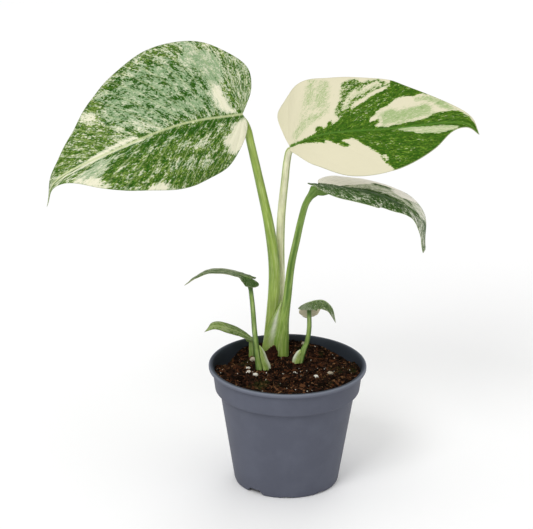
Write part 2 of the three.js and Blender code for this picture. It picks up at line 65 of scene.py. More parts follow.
def set_node(tree, node, settings=None, links=None):
    """Sets a node. A lower case name is a setting of the node, any other name or number an input.
    A link comes from a socket, or from a node: then it is its first output that is in use."""
    for name, value in (settings or {}).items():
        if isinstance(name, str) and name[0].islower():
            setattr(node, name, value)
        else:
            node.inputs[name].default_value = value
    for name, source in (links or {}).items():
        if isinstance(source, bpy.types.Node):
            source = next(socket for socket in source.outputs if socket.enabled)
        tree.links.new(source, node.inputs[name])
    return node


def add_node(tree, kind, settings=None, links=None):
    """Adds a node with its settings and links."""
    return set_node(tree, tree.nodes.new(kind), settings, links)


def new_material(name):
    """An empty material: its node tree and the shader that the steps lead to."""
    material = bpy.data.materials.new(name)
    material.use_nodes = True
    tree = material.node_tree
    tree.nodes.clear()
    shader = add_node(tree, "ShaderNodeBsdfPrincipled")
    add_node(tree, "ShaderNodeOutputMaterial", links={"Surface": shader})
    return material, tree, shader


# A mix node has inputs for every kind of value under the same names, so they go by number.
SHARE, VALUE_A, VALUE_B, COLOUR_A, COLOUR_B = 0, 2, 3, 6, 7


# %% Mesh helpers
def new_piece(name, points, faces, material, replaced, uv=None, fields=None):
    """A mesh object from points in mm, on the frame, standing for the solids it replaces."""
    mesh = bpy.data.meshes.new(name)
    mesh.from_pydata(np.asarray(points) * MM, [], faces)
    if uv is not None:
        layer = mesh.uv_layers.new(name="surface")
        layer.data.foreach_set("uv", np.asarray(uv, dtype=np.float32).ravel())
    add_fields(mesh, fields or {})
    mesh.materials.append(material)
    mesh.polygons.foreach_set("use_smooth", [True] * len(mesh.polygons))
    mesh.update()
    piece = bpy.data.objects.new(name, mesh)
    bpy.context.collection.objects.link(piece)
    return seat(piece, replaced)


def add_fields(mesh, fields):
    """Stores a number or a vector for each point, for the material to read."""
    for field, values in fields.items():
        values = np.asarray(values, dtype=np.float32)
        kind, title = ("FLOAT_VECTOR", "vector") if values.ndim == 2 else ("FLOAT", "value")
        attribute = mesh.attributes.new(field, kind, "POINT")
        attribute.data.foreach_set(title, values.ravel())


def seat(piece, replaced):
    """Puts a finished object on the frame."""
    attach(piece, "root")
    if replaced:
        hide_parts(*replaced)
    print(f"{piece.name}: {len(piece.data.vertices)} points, {len(piece.data.polygons)} faces")
    return piece


def ring_faces(rings, sides):
    """Faces between rings of points, closed by a fan round one more point at either end."""
    faces = []
    for i in range(rings - 1):
        for k in range(sides):
            a, b = i * sides + k, i * sides + (k + 1) % sides
            faces.append((a, b, b + sides, a + sides))
    last, first_pole = (rings - 1) * sides, rings * sides
    for k in range(sides):
        faces.append(((k + 1) % sides, k, first_pole))
        faces.append((last + k, last + (k + 1) % sides, first_pole + 1))
    return faces


def circle(sides):
    """The angles of a ring of points."""
    return 2 * np.pi * np.arange(sides) / sides


# %% [markdown]
# ## Curves
# Midribs, leaf edges and stalks are all smooth curves through a few measured points. The solids
# use a centripetal Catmull-Rom curve, which passes through its points without overshooting, so
# the same curve is written here with numpy.


# %% Smooth curves
def curve_through(points, shares):
    """Places on the smooth curve, by share of the number of its points."""
    points = np.asarray(points, float)
    last = len(points) - 1
    t = np.asarray(shares, float) * last
    index = np.minimum(t.astype(int), last - 1)
    w = (t - index)[:, None]
    padded = np.vstack([2 * points[0] - points[1], points, 2 * points[-1] - points[-2]])
    p0, p1, p2, p3 = (padded[index + k] for k in range(4))
    d0, d1, d2 = (
        np.sqrt(np.linalg.norm(b - a, axis=1))[:, None] for a, b in ((p0, p1), (p1, p2), (p2, p3))
    )
    t1 = ((p1 - p0) / d0 - (p2 - p0) / (d0 + d1) + (p2 - p1) / d1) * d1
    t2 = ((p2 - p1) / d1 - (p3 - p1) / (d1 + d2) + (p3 - p2) / d2) * d1
    square = -3 * p1 + 3 * p2 - 2 * t1 - t2
    return p1 + t1 * w + square * w**2 + (2 * p1 - 2 * p2 + t1 + t2) * w**3


PATH_SAMPLES = 401


class Path:
    """A smooth curve measured by the distance along it."""

    def __init__(self, points):
        self.places = curve_through(points, np.linspace(0, 1, PATH_SAMPLES))
        steps = np.linalg.norm(np.diff(self.places, axis=0), axis=1)
        self.marks = np.concatenate([[0], np.cumsum(steps)])
        self.length = self.marks[-1]
        slope = np.gradient(self.places, self.marks, axis=0)
        self.slopes = slope / np.linalg.norm(slope, axis=1)[:, None]

    def at(self, distance):
        """Places and directions at the distances; beyond its ends the path runs straight on."""
        distance = np.asarray(distance, float)
        held = np.clip(distance, 0, self.length)
        place, slope = (
            np.stack([np.interp(held, self.marks, values[:, k]) for k in range(3)], -1)
            for values in (self.places, self.slopes)
        )
        slope /= np.linalg.norm(slope, axis=-1, keepdims=True)
        return place + slope * (distance - held)[..., None], slope


# %% [markdown]
# ## The leaf blades
# A monstera leaf is one thin sheet, hinged along a midrib that hangs in an arch. Each half can be
# folded up or down at the midrib and curls down towards its edge. A flat grid that is bent by
# hand would lose the outline, so each blade is written as a surface: a place is given by its
# distance along the midrib and its width to one side, as in the solids. The outline lists the
# same two numbers round each lobe, from the stalk's joint to the tip. Points were picked along
# the edges in the photo, and for the large leaves a fit outside this lesson turned them into
# these millimetres and degrees, which were then rounded and corrected.

# %% Measurements of the blades
BLADE_THICKNESS = 0.8
VEIN_START = 0.22  # share of the outline, round the lobe, that the grid reaches from the joint
KEEL_TAIL = 3  # how far the keel under the midrib reaches behind the joint
KEEL_SLOPE = 1.4  # half width of the keel over its depth

# A midrib is a curve through places. The two ways across it, at the joint and at the tip, point
# to the first half. A half is folded by so many degrees at the joint and at the tip, and curls
# down by so many degrees for each millimetre of its width. A droop adds degrees to the fold at
# the joint, fading out by a distance along the midrib. Veins are the angles at which the side
# veins leave the midrib, and their pitch is the distance between two.
BLADES = {
    "left_blade": {
        "midrib": [(-35.5, 20, 287), (-79, 1.5, 285), (-125.5, -13.5, 270.3), (-171.3, -22, 247.5),
            (-180, -7.5, 222)],
        "across": [(-0.145, 0.507, 0.849), (-0.133, 0.806, 0.577)],
        "halves": [
            {"fold": (-1.5, -4.5), "curl": 0.265, "veins": (84, 66, 50, 28, 14),
             "outline": [(0, 0), (-12, 19), (-13, 37), (13, 61.5), (51.5, 68.5), (94.5, 55),
                 (124.5, 31.5), (152.5, 11)]},
            {"fold": (-19, -5), "curl": 0.59, "veins": (60, 44, 24, 13, 8),
             "outline": [(0, 0), (-3, 8.5), (4, 26.5), (16, 42), (53.5, 48), (92, 37), (121, 23),
                 (147, 6)]},
        ],
        "keel": 2.4, "vein_pitch": 13,
    },
    "cream_blade": {
        "midrib": [(0, 28, 259), (21.5, 19.5, 271), (76.5, 15, 278.5), (130.5, 11, 284),
            (140, 9, 276.5)],
        "across": [(0.224, -0.856, -0.466), (0.083, -0.794, -0.602)],
        "halves": [
            {"fold": (7.5, 1), "curl": 0.2, "veins": (52, 30, 20, 12, 8),
             "outline": [(0, 0), (0.5, 3.5), (7.5, 11.5), (24.5, 28.5), (48.5, 42.5), (82.5, 38.5),
                 (111.5, 22.5), (129, 6.5)]},
            {"fold": (5.5, 2), "curl": 0.2, "veins": (60, 44, 35, 16, 8),
             "outline": [(0, 0), (-5, 12.5), (-10, 32.5), (-4, 42.7), (4.5, 51), (40, 54.5),
                 (79, 46.5), (110, 27.5), (133.5, 10.5)]},
        ],
        "keel": 2.2, "vein_pitch": 12,
    },
    "right_blade": {
        "midrib": [(21.5, 6, 234.5), (48.5, 3.5, 234), (74, 1.5, 228.5), (94.5, -8, 217),
            (99.5, -20.5, 193.5)],
        "across": [(0.124, -0.955, 0.27), (-0.125, -0.976, 0.179)],
        "halves": [
            {"fold": (17, -4), "curl": 0.62,
             "outline": [(0, 0), (-5.5, 11), (-5.5, 29), (7.5, 46), (30, 52.5), (55.5, 41.5),
                 (76.5, 24.5), (94, 9.5)]},
            {"fold": (11.5, 9.5), "curl": 0.175,
             "outline": [(0, 0), (-1, 10.5), (-2, 27), (5, 43), (29.5, 46.5), (54, 37.5),
                 (81, 23.5), (100, 10)]},
        ],
        "keel": 2, "vein_pitch": 11,
    },
    "small_left_blade": {
        "midrib": [(-32, 4, 163.5), (-39.5, 3, 166), (-50, 0, 168.8), (-61, -4, 169.6),
            (-69.5, -7, 166.5), (-78, -9, 161)],
        "across": [(0, 0.96, -0.22), (0, 0.97, -0.22)],
        "halves": [
            {"fold": (3, 3), "curl": 0.5,
             "outline": [(0, 0), (-7, 2), (-9, 7), (-1, 13), (13, 15.5), (28, 12), (40, 6.5)]},
            {"fold": (0, 2), "curl": 0.3, "droop": (-34, 9),
             "outline": [(0, 0), (-5.5, 1.2), (-10.5, 4), (-8.5, 8), (4, 10.5), (20, 10), (36, 6)]},
        ],
        "keel": 0.9, "vein_pitch": 5,
    },
    "young_blade": {
        "midrib": [(-28.5, 30, 102), (-37.5, 30.5, 107), (-46, 27, 111.5), (-56, 24.5, 114.5),
            (-64, 18.5, 112)],
        "across": [(-0.267, 0.933, 0.242), (-0.055, 0.795, 0.604)],
        "halves": [
            {"fold": (-6.5, -1), "curl": 1.1,
             "outline": [(0, 0), (-3, 1.5), (-3, 4.5), (2.5, 7), (12, 8), (22, 6.5), (32, 4),
                 (36.5, 1.5)]},
            {"fold": (13, 0), "curl": 0.85,
             "outline": [(0, 0), (-3, 1.5), (-2.5, 3.5), (3, 5.5), (12, 6), (22, 5), (32, 3),
                 (38, 1)]},
        ],
        "keel": 0.6, "vein_pitch": 3,
    },
    "small_right_blade": {
        "midrib": [(15.5, 16, 138.5), (21, 14, 141), (27, 11, 142), (33, 8, 137.5), (36, 5, 126.5)],
        "across": [(0.1, -1, 0), (0.3, -0.95, -0.2)],
        "halves": [
            {"fold": (-20, -38), "curl": 0.3,
             "outline": [(0, 0), (-6, 1.2), (-9, 3.2), (-5, 6), (4, 8.5), (12, 10), (20, 8.5),
                 (28, 4)]},
            {"fold": (-66, -24), "curl": 0.4,
             "outline": [(0, 0), (-6, 2.5), (-13, 8), (-11, 15.5), (-3, 16), (5, 11.5), (13, 7.5),
                 (24, 3.5)]},
        ],
        "keel": 0.7, "vein_pitch": 5,
    },
}


# %% The surface of a blade
DROOP_FADE = 1.5  # power by which a droop fades out


class BladeSurface:
    """A blade as a surface over the distance along its midrib and the width to one side."""

    def __init__(self, spec):
        self.spec = spec
        self.midrib = Path(spec["midrib"])
        self.length = self.midrib.length

    def directions(self, along):
        """Place on the midrib, its direction, the way across and the way up, and the share."""
        share = np.clip(along / self.length, 0, 1)
        place, forward = self.midrib.at(along)
        first, second = (np.asarray(a, float) for a in self.spec["across"])
        across = first + (second - first) * share[..., None]
        across = across - forward * np.sum(across * forward, -1, keepdims=True)
        across /= np.linalg.norm(across, axis=-1, keepdims=True)
        return place, forward, across, np.cross(across, forward), share

    def point(self, half, along, width, height):
        """Places on one half, at a height over the middle of the sheet."""
        place, _, across, up, share = self.directions(along)
        if half == 1:
            across = -across
        spec = self.spec["halves"][half]
        fold = spec["fold"]
        droop, reach = spec.get("droop", (0, 1))
        hang = droop * np.clip(1 - along / reach, 0, 1) ** DROOP_FADE
        start = np.radians(fold[0] + (fold[1] - fold[0]) * share + hang)
        bend = math.radians(spec["curl"])
        end = start - bend * width
        lean = end * np.minimum(1, width / BLADE_THICKNESS)
        sideways = (np.sin(start) - np.sin(end)) / bend - height * np.sin(lean)
        lift = (np.cos(end) - np.cos(start)) / bend + height * np.cos(lean)
        return place + across * sideways[..., None] + up * lift[..., None]

    def edge(self, half, shares):
        """The outline of one half: distance along the midrib and width, round to the tip."""
        outline = self.spec["halves"][half]["outline"]
        edge = curve_through([*outline, (self.length, 0)], shares)
        return edge[:, 0], np.maximum(edge[:, 1], 0)


# %% [markdown]
# ## Side veins
# Side veins leave the midrib at a steep angle near the stalk and at an ever flatter one towards
# the tip, and they sweep a little forward as they go. The lobes behind the joint are fanned. The
# function below finds, for any place on a blade, which vein runs there and how far out along it
# the place lies, both in millimetres. The relief of the veins, the pale lines over them and the
# streaks of the variegation all read these two numbers, so they agree.

# %% Which vein passes through a place
VEIN_SHARES = (0, 0.22, 0.45, 0.8, 1)  # places along the midrib, as shares of its length
VEIN_ANGLES = (66, 50, 39, 28, 20)  # angle in degrees between a vein and the midrib there
VEIN_SWEEP = 0.0022  # how far a vein runs ahead for each square millimetre of width
VEIN_SAMPLES = 161
FAN_RADIUS = 38  # mm out at which the fanned veins of a lobe are as far apart as they are marked


def vein_coordinates(length, along, width, angles=VEIN_ANGLES):
    """The vein's mark, counted in mm across the veins, and the distance out along it."""
    roots = np.linspace(0, length, VEIN_SAMPLES)
    angle = np.radians(np.interp(roots / length, VEIN_SHARES, angles))
    marks = np.concatenate([[0], np.cumsum(np.diff(roots) * np.sin(angle[1:]))])
    ahead = along - VEIN_SWEEP * width**2
    passes = roots + width[:, None] / np.tan(angle)
    index = np.clip((passes < ahead[:, None]).sum(axis=1) - 1, 0, len(roots) - 2)
    rows = np.arange(len(width))
    low, high = passes[rows, index], passes[rows, index + 1]
    share = np.clip((ahead - low) / (high - low), 0, 1)
    mark = marks[index] + share * (marks[index + 1] - marks[index])
    out = width / np.sin(angle[index])
    fan = ahead < passes[:, 0]
    turn = np.arctan2(width, ahead) - angle[0]
    return np.where(fan, -turn * FAN_RADIUS, mark), np.where(fan, np.hypot(width, ahead), out)


# %% [markdown]
# ## The sheet of a blade
# The grid runs from the midrib out to the edge and round it, so that the edge stays crisp. The
# side veins are sunk a few tenths of a millimetre into the upper face with the tissue between
# them slightly raised, the edge waves a little, and the midrib stands out below as a keel.

# %% Relief of a blade
UNEVEN_SHARE, UNEVEN_LENGTH = 0.13, 17  # veins stray by a share of the pitch, slowly over mm
HALF_OFFSET = 40.5  # pitches between the marks of the two halves, so that they don't mirror
VEIN_GROOVE = 0.9  # half width in mm of the groove over a side vein
TISSUE_RISE = 1.5  # rise of the tissue between veins, over the depth of the veins
LONG_WAVE, SHORT_WAVE = 0.62, 0.27  # mm of mark to a radian of the edge's waves, over the pitch
WAVE_WIDTH = 0.45  # how far in from the edge the waves fade, over the pitch
RIM_THICKNESS, RIM_WIDTH = 0.4, 2  # share of the thickness that is left at the edge, mm to full
CREASE_WIDTH, CREASE_DEPTH = 0.35, 0.16  # the groove along the midrib's top, over the keel


def across_veins(surface, half, along, width):
    """Vein coordinates in mm with a slightly uneven spacing, each half with marks of its own."""
    angles = surface.spec["halves"][half].get("veins", VEIN_ANGLES)
    mark, out = vein_coordinates(surface.length, along, width, angles)
    stray = UNEVEN_SHARE * np.sin(mark / UNEVEN_LENGTH)
    return mark + surface.spec["vein_pitch"] * (stray + HALF_OFFSET * half), out


def sheet_relief(surface, half, along, width, to_edge, depth, wave):
    """Height in mm of the veins, the raised tissue between them and the waves of the edge."""
    pitch = surface.spec["vein_pitch"]
    mark, out = across_veins(surface, half, along, width)
    off_vein = np.abs(mark / pitch % 1 - 0.5)
    fade = np.clip(out / (0.8 * pitch), 0, 1) * np.clip(to_edge / (0.5 * pitch), 0, 1)
    groove = np.exp(-((off_vein * pitch / VEIN_GROOVE) ** 2))
    veins = depth * (TISSUE_RISE * np.sin(np.pi * off_vein) - groove)
    waves = np.sin(mark / (LONG_WAVE * pitch) + 2 * half) + 0.6 * np.sin(mark / (SHORT_WAVE * pitch) + 1)
    rim = np.exp(-to_edge / (WAVE_WIDTH * pitch))
    return fade * veins + wave * waves * rim * np.clip(out / pitch, 0, 1)


def face_heights(surface, along, width, to_edge, relief):
    """Heights of the upper and the lower face; the sheet thins towards its edge."""
    fullness = RIM_THICKNESS + (1 - RIM_THICKNESS) * np.clip(to_edge / RIM_WIDTH, 0, 1)
    thin = BLADE_THICKNESS / 2 * fullness
    depth = surface.spec["keel"]
    fade = np.where(along < 0, 1 + along / KEEL_TAIL, 1 - along / surface.length).clip(0)
    keel = depth * fade * np.maximum(0, 1 - width / (KEEL_SLOPE * depth))
    crease = CREASE_DEPTH * depth * fade * np.exp(-((width / (CREASE_WIDTH * depth)) ** 2))
    return (1, relief + thin - crease), (-1, relief - thin - keel)


# %% Build the sheet of a blade
OFF_MIDRIB = 0.02  # the marks on the midrib itself are read this share of the way out


def blade_sheet(spec, steps, stops, depth, wave):
    """Points, faces and UVs of a blade, and each point's place on it in mm."""
    surface = BladeSurface(spec)
    shares = np.linspace(0, 1, steps + 1)
    root = surface.length * np.maximum(0, (shares - VEIN_START) / (1 - VEIN_START))
    even = np.linspace(0, 1, stops + 1)
    stop = 0.6 * even + 0.4 * (0.5 - 0.5 * np.cos(np.pi * even))
    points, places, corners, quads, count = [], [], [], [], 0
    for half in (0, 1):
        edge_along, edge_width = surface.edge(half, shares)

        def out_to(share):
            """Distance along and width at a share of the way from the midrib to the edge."""
            return root[:, None] + (edge_along - root)[:, None] * share, edge_width[:, None] * share

        along, width = out_to(stop)
        to_edge = np.hypot(edge_along - root, edge_width)[:, None] * (1 - stop)
        flat = [v.ravel() for v in (along, width, to_edge)]
        relief = sheet_relief(surface, half, *flat, depth, wave).reshape(along.shape)
        off_midrib = [v.ravel() for v in out_to(np.maximum(stop, OFF_MIDRIB))]
        mark = across_veins(surface, half, *off_midrib)[0]
        uv = np.stack([mark, across_veins(surface, half, flat[0], flat[1])[1]], -1)
        side = width if half == 0 else -width
        i, j = np.meshgrid(np.arange(steps), np.arange(stops), indexing="ij")
        for face, height in face_heights(surface, along, width, to_edge, relief):
            points.append(surface.point(half, along, width, height).reshape(-1, 3))
            place = np.stack([along, side, np.full_like(along, face), to_edge], -1)
            places.append(place.reshape(-1, 4))
            corners.append(uv)
            a = count + i * (stops + 1) + j
            quad = np.stack([a, a + stops + 1, a + stops + 2, a + 1], -1).reshape(-1, 4)
            quads.append(quad if (face > 0) == (half == 1) else quad[:, ::-1])
            count += along.size
        upper, lower = count - 2 * along.size, count - along.size
        a, b = (start + np.arange(steps) * (stops + 1) + stops for start in (upper, lower))
        rim = np.stack([a, a + stops + 1, b + stops + 1, b], -1)
        quads.append(rim[:, ::-1] if half == 0 else rim)
    return weld(np.vstack(points), np.vstack(places), np.vstack(corners), np.vstack(quads))


WELD_STEPS = 2e3  # steps to a millimetre on which points count as one


def weld(points, places, corners, quads):
    """Makes points that share a place one point and drops the faces that this leaves empty."""
    keys = np.round(points * WELD_STEPS).astype(np.int64)
    _, kept, merged = np.unique(keys, axis=0, return_index=True, return_inverse=True)
    merged = merged.ravel()
    faces, uv = [], []
    for quad in quads:
        face, face_uv = [], []
        for corner in quad:
            point = merged[corner]
            if point not in face:
                face.append(int(point))
                face_uv.append(corners[corner])
        if len(face) > 2:
            faces.append(face)
            uv.extend(face_uv)
    return points[kept], faces, np.asarray(uv), places[kept]


# %% [markdown]
# ## Variegation
# A variegated leaf is a mosaic of two layers of tissue. Where the upper layer has chlorophyll the
# leaf is a fresh green, where only the deep layer has it the green shows through as a dull sage,
# and where neither has it the leaf is cream. The layers grew together, so their spots often
# coincide. The large patches are closed outlines in leaf coordinates, each with the share of
# green in either layer. Most of their corners were picked on the photo and turned into leaf
# coordinates outside this lesson. An image would fix the pattern to one view; here each point
# of the grid stores the two shares, and the material breaks them up with noise that is drawn
# out along the side veins.


# %% From outlines to shares of green
def signed_distance(points, outline):
    """Distance in mm to a closed outline, positive inside it."""
    a = np.asarray(outline, float)
    b = np.roll(a, -1, axis=0)
    edge = b - a
    offset = points[:, None] - a
    share = np.clip((offset * edge).sum(-1) / np.maximum((edge**2).sum(-1), 1e-9), 0, 1)
    gap = np.linalg.norm(offset - share[..., None] * edge, axis=-1).min(axis=1)
    x, y = points[:, :1], points[:, 1:]
    spans = (a[:, 1] > y) != (b[:, 1] > y)
    rise = np.where(edge[:, 1] == 0, 1e-9, edge[:, 1])
    inside = (spans & (x < a[:, 0] + (y - a[:, 1]) * edge[:, 0] / rise)).sum(axis=1) % 2 == 1
    return np.where(inside, gap, -gap)


def green_shares(places, ground, patches):
    """Shares of green in the upper and the deep layer at each place of a blade."""
    upper, deep = (np.full(len(places), float(share)) for share in ground)
    for upper_share, deep_share, fade, outline in patches:
        weight = np.clip(signed_distance(places[:, :2], outline) / fade + 0.5, 0, 1)
        upper += weight * (upper_share - upper)
        deep += weight * (deep_share - deep)
    return upper, deep


# %% Patches of each blade
# A patch is its share of green in the upper layer, its share in the deep layer, its fade in mm
# and its outline, in mm along the midrib and across it, with the second half below zero. A later
# patch covers an earlier one. A share below 0 leaves no green spot at all.
PATCHES = {
    "left_blade": [
        (0.68, 0.64, 8, [(10, -10), (110, -8), (120, -20), (92, -38), (53, -50), (14, -44),
         (10, -26)]),
        (0.63, 0.58, 8, [(96, 4), (150, 2), (150, 14), (124, 34), (100, 50), (96, 30)]),
        (0.68, 0.8, 8, [(-5, 0), (20, 0), (60, 0), (110, 0), (135, 0), (110, -6), (70, -9),
         (30, -11), (8, -7)]),
        (0.44, 0.8, 12, [(91, 49), (61, 56), (42, 53), (22, 37), (19, 18), (18, 6), (46, 3),
         (69, 5), (89, 12), (100, 27)]),
        (0.52, 0.5, 5, [(22, 64), (8, 58), (-4, 50), (6, 46), (12, 52), (22, 55)]),
        (0.5, 0.62, 6, [(-2, 53), (-13, 41), (-13, 18), (-1, 8), (5, 20), (5, 40)]),
        (0.14, 0.7, 5, [(29, 67), (22, 65), (23, 57), (10, 52), (6, 41), (8, 32), (15, 23),
         (20, 28), (22, 38), (29, 45), (35, 50), (30, 59)]),
        (0.37, 0.45, 4, [(44, -18), (36, -14), (28, -12), (30, -16), (37, -21), (43, -20)]),
        (0.44, 0.55, 4, [(58, -17), (52, -14), (44, -12), (48, -16), (54, -18)]),
        (0.42, 0.58, 4, [(53, -27), (45, -25), (42, -30), (49, -35), (54, -33)]),
        (0.4, 0.56, 4, [(38, -32), (31, -25), (27, -22), (28, -28), (25, -33), (32, -34)]),
        (0.44, 0.6, 4, [(68, -27), (63, -24), (56, -26), (62, -29), (67, -30)]),
        (0.4, 0.5, 4, [(23, -9), (17, -4), (14, -5), (19, -11)]),
        (0.42, 0.6, 4, [(71, -12), (65, -9), (59, -6), (55, -8), (64, -11)]),
        (0.44, 0.58, 4, [(82, -13), (78, -8), (72, -8), (77, -12), (81, -14)]),
        (0.3, 0.4, 4, [(95, 18), (90, 17), (87, 13), (91, 12), (95, 15)]),
        (0.25, 0.4, 3, [(100, 3), (96, 6), (84, 3), (92, 1)]),
        (0.3, 0.5, 6, [(85, 19), (71, 12), (65, 2), (75, 3), (82, 10)]),
        (0.2, 0.62, 4, [(136, -8), (118, -3), (103, -5), (110, -7), (116, -11), (122, -13),
         (125, -17), (135, -11)]),
        (-0.3, -0.1, 6, [(17, 24), (13, 23), (13, 17), (10, 6), (7, 3), (13, 4), (18, 12),
         (19, 19)]),
        (-0.3, -0.1, 6, [(1, -5), (-2, -5), (-1, -17), (3, -25), (7, -28), (12, -26), (11, -22),
         (16, -20), (15, -17), (9, -14), (8, -8)]),
        (0, 0, 6, [(138, -9), (127, -13), (122, -15), (119, -20), (125, -21), (135, -13)]),
        (0, 0, 7, [(91, -36), (79, -36), (76, -39), (78, -42), (91, -38)]),
        (0.1, 0.1, 7, [(113, 39), (103, 35), (103, 30), (109, 31), (114, 35)]),
        (-0.3, 0.05, 1.8, [(156, 0), (141, 0), (129, 0), (113, 3), (98, 3.6), (90, 3.6),
         (83, 1.6), (90, 2), (100, 2), (115, 0), (134, 0)]),
        (-0.3, 0.05, 1.8, [(153, -2), (135, -2), (115, 0), (92, 0), (73, -1.4), (92, -0.8),
         (109, -0.8), (122, -1.6), (137, -2)]),
    ],
    "cream_blade": [
        (-0.15, 0.3, 6, [(16, -56), (30, -54), (36, -46), (37, -34), (34, -22), (26, -14),
         (18, -8), (8, -3), (2, -3), (4, -9), (9, -17), (11, -26), (12, -36)]),
        (-0.1, 0.54, 4, [(15, -29), (17, -42), (19, -53), (22, -52), (22, -42), (21, -31),
         (16, -27)]),
        (-0.1, 0.54, 4, [(23, -33), (25, -43), (29, -50), (33, -52), (34, -46), (33, -37),
         (32, -26), (26, -25)]),
        (-0.1, 0.52, 4, [(3, -7), (6, -12), (11, -15), (15, -18), (25, -19), (31, -23), (34, -26),
         (34, -19), (27, -14), (20, -12), (13, -7), (7, -3)]),
        (0.57, 0.62, 3, [(42, -39), (43, -47), (50, -51), (56, -52), (58, -47), (64, -49),
         (72, -49), (78, -44), (80, -43), (80, -39), (74, -39), (67, -35), (60, -30), (54, -26),
         (49, -19), (41, -13), (37, -16), (39, -24), (42, -31)]),
        (0.1, 0.3, 2, [(46, -28), (49, -34), (53, -39), (56, -35), (51, -30), (48, -25),
         (46, -22), (45, -22)]),
        (0.1, 0.3, 2, [(56, -36), (60, -41), (64, -43), (68, -45), (70, -47), (74, -43),
         (67, -41), (66, -39), (60, -36), (57, -34)]),
        (0.88, 0.74, 3, [(0, -1.2), (3, -2), (9, -1), (17, -1), (22, -2), (23, -3), (23, -7),
         (25, -8), (28, -8), (30, -6), (32, -7), (33, -10), (36, -12), (37, -9), (41, -12),
         (45, -17), (49, -19), (53, -22), (56, -24), (59, -26), (66, -32), (74, -36), (80, -40),
         (79, -52), (99, -42), (112, -32), (109, -28), (103, -28), (98, -27), (89, -28),
         (83, -26), (79, -21), (72, -18), (76, -20), (70, -17), (69, -13), (65, -10), (65, -8),
         (68, -8), (72, -11), (72, -9), (72, -6), (69, -3), (79, -2), (83, -4), (93, -5),
         (102, -5), (109, -7), (114, -10), (119, -10), (123, -11), (128, -11), (132, -10),
         (138, -6), (149, 0), (149, 1.5), (20, 1.5), (4, 1), (0, 0.8)]),
        (0.88, 0.74, 3, [(0, 0.8), (9, 2), (19, 6), (27, 8), (31, 10), (33, 10), (31, 8), (33, 7),
         (39, 12), (45, 15), (49, 16), (50, 15), (49, 12), (44, 9), (51, 8), (55, 10), (59, 14),
         (66, 20), (72, 25), (73, 29), (75, 32), (79, 35), (75, 32), (80, 36), (82, 41), (90, 42),
         (105, 34), (128, 14), (138, 5), (149, 0), (149, -1.5), (20, -1.5), (3, -0.3)]),
        (0.72, 0.7, 5, [(46, -14), (56, -21), (76, -33), (97, -36), (85, -29), (77, -23),
         (66, -14), (58, -8)]),
        (0.74, 0.68, 5, [(112, -9), (124, -9), (136, -6), (142, -2), (124, -3), (108, -5)]),
        (0.81, 0.72, 5, [(58, 5), (76, 4), (86, 9), (98, 20), (90, 32), (82, 35), (76, 22),
         (66, 12)]),
        (0.16, 0.74, 5, [(70, -14), (80, -19), (79, -19), (86, -17), (95, -18), (102, -19),
         (109, -20), (113, -12), (109, -8), (102, -6), (89, -5), (75, -3), (73, -3), (73, -8),
         (72, -11)]),
        (0.2, 0.7, 3, [(98, -26), (106, -27), (113, -25), (122, -19), (129, -12), (124, -11),
         (118, -13), (113, -18), (105, -22), (99, -22)]),
        (0.62, 0.8, 2, [(104, -40), (124, -27), (139, -12), (137, -8), (128, -14.5), (115, -23.5),
         (104, -31)]),
        (0.1, 0.6, 2, [(83, 1), (93, 0), (108, 2), (132, 3), (130, 5), (119, 9), (108, 8),
         (99, 7), (97, 5), (89, 3)]),
        (-0.2, 0, 2, [(74, 26), (76, 25), (78, 28), (77, 30), (76, 29)]),
    ],
    "right_blade": [
        (0.5, 0.6, 6, [(84, -12), (110, -6), (125, 0), (110, 14), (84, 24), (70, 14), (78, 2)]),
        (0.84, 0.86, 9, [(6, 0), (56, 0), (68, 8), (60, 20), (44, 25), (22, 22), (6, 12)]),
        (0.6, 0.7, 8, [(2, 34), (30, 42), (56, 32), (60, 44), (30, 56), (0, 50)]),
        (-0.3, -0.1, 3, [(-1, -14), (-4, -26), (2, -46), (24, -52), (50, -46), (62, -38),
         (54, -31), (41, -31), (38, -22), (26, -13), (15, -7), (6, -12)]),
        (0.15, 0.6, 4, [(15, -5), (26, -11), (41, -24), (49, -26), (54, -23), (63, -14), (72, -5),
         (61, -7), (49, -6), (37, -8), (24, -4)]),
        (-0.3, 0, 3, [(52, -30), (55, -34), (61, -34), (68, -31), (66, -24), (59, -16), (53, -20)]),
        (0.15, 0.5, 4, [(64, -18), (69, -30), (76, -25), (83, -22), (79, -7), (71, -9)]),
    ],
    "small_left_blade": [
        (0.66, 0.75, 4, [(-16, 0), (5, 0), (2, -14), (-16, -14)]),
        (0.2, 0.45, 3, [(4, 6), (16, 8), (30, 6), (44, 3), (44, 9), (30, 16), (10, 18), (2, 14)]),
    ],
    "young_blade": [
        (0.5, 0.3, 6, [(20, -8), (42, -8), (42, 9), (20, 9)]),
    ],
    "small_right_blade": [
        (0.74, 0.64, 5, [(0, 0), (12, 0), (26, 0), (26, 8), (8, 9), (0, 4)]),
    ],
}


# %% Leaf material
STREAK, SPECK, TONE, VEINLET = (3.2, 9), (0.9, 1.9), (1.1, 3.2), (0.7, 4)  # mm across and along
DEEP_SCALE = 0.65  # the deep layer's own spots are this much smaller
DEEP_OWN = 0.62  # share of the deep layer's noise that is its own, not the upper layer's
# How the two layers are cut out: the reach of the noise about its middle, and a soft edge.
UPPER_CUT, DEEP_CUT = (0.1667, 0.05), (0.122, 0.28)
RIB_BAND, MARGIN_BAND = (0.3, 1.2, 0.75), (0.2, 0.6, 0.6)  # mm full, mm gone, strength


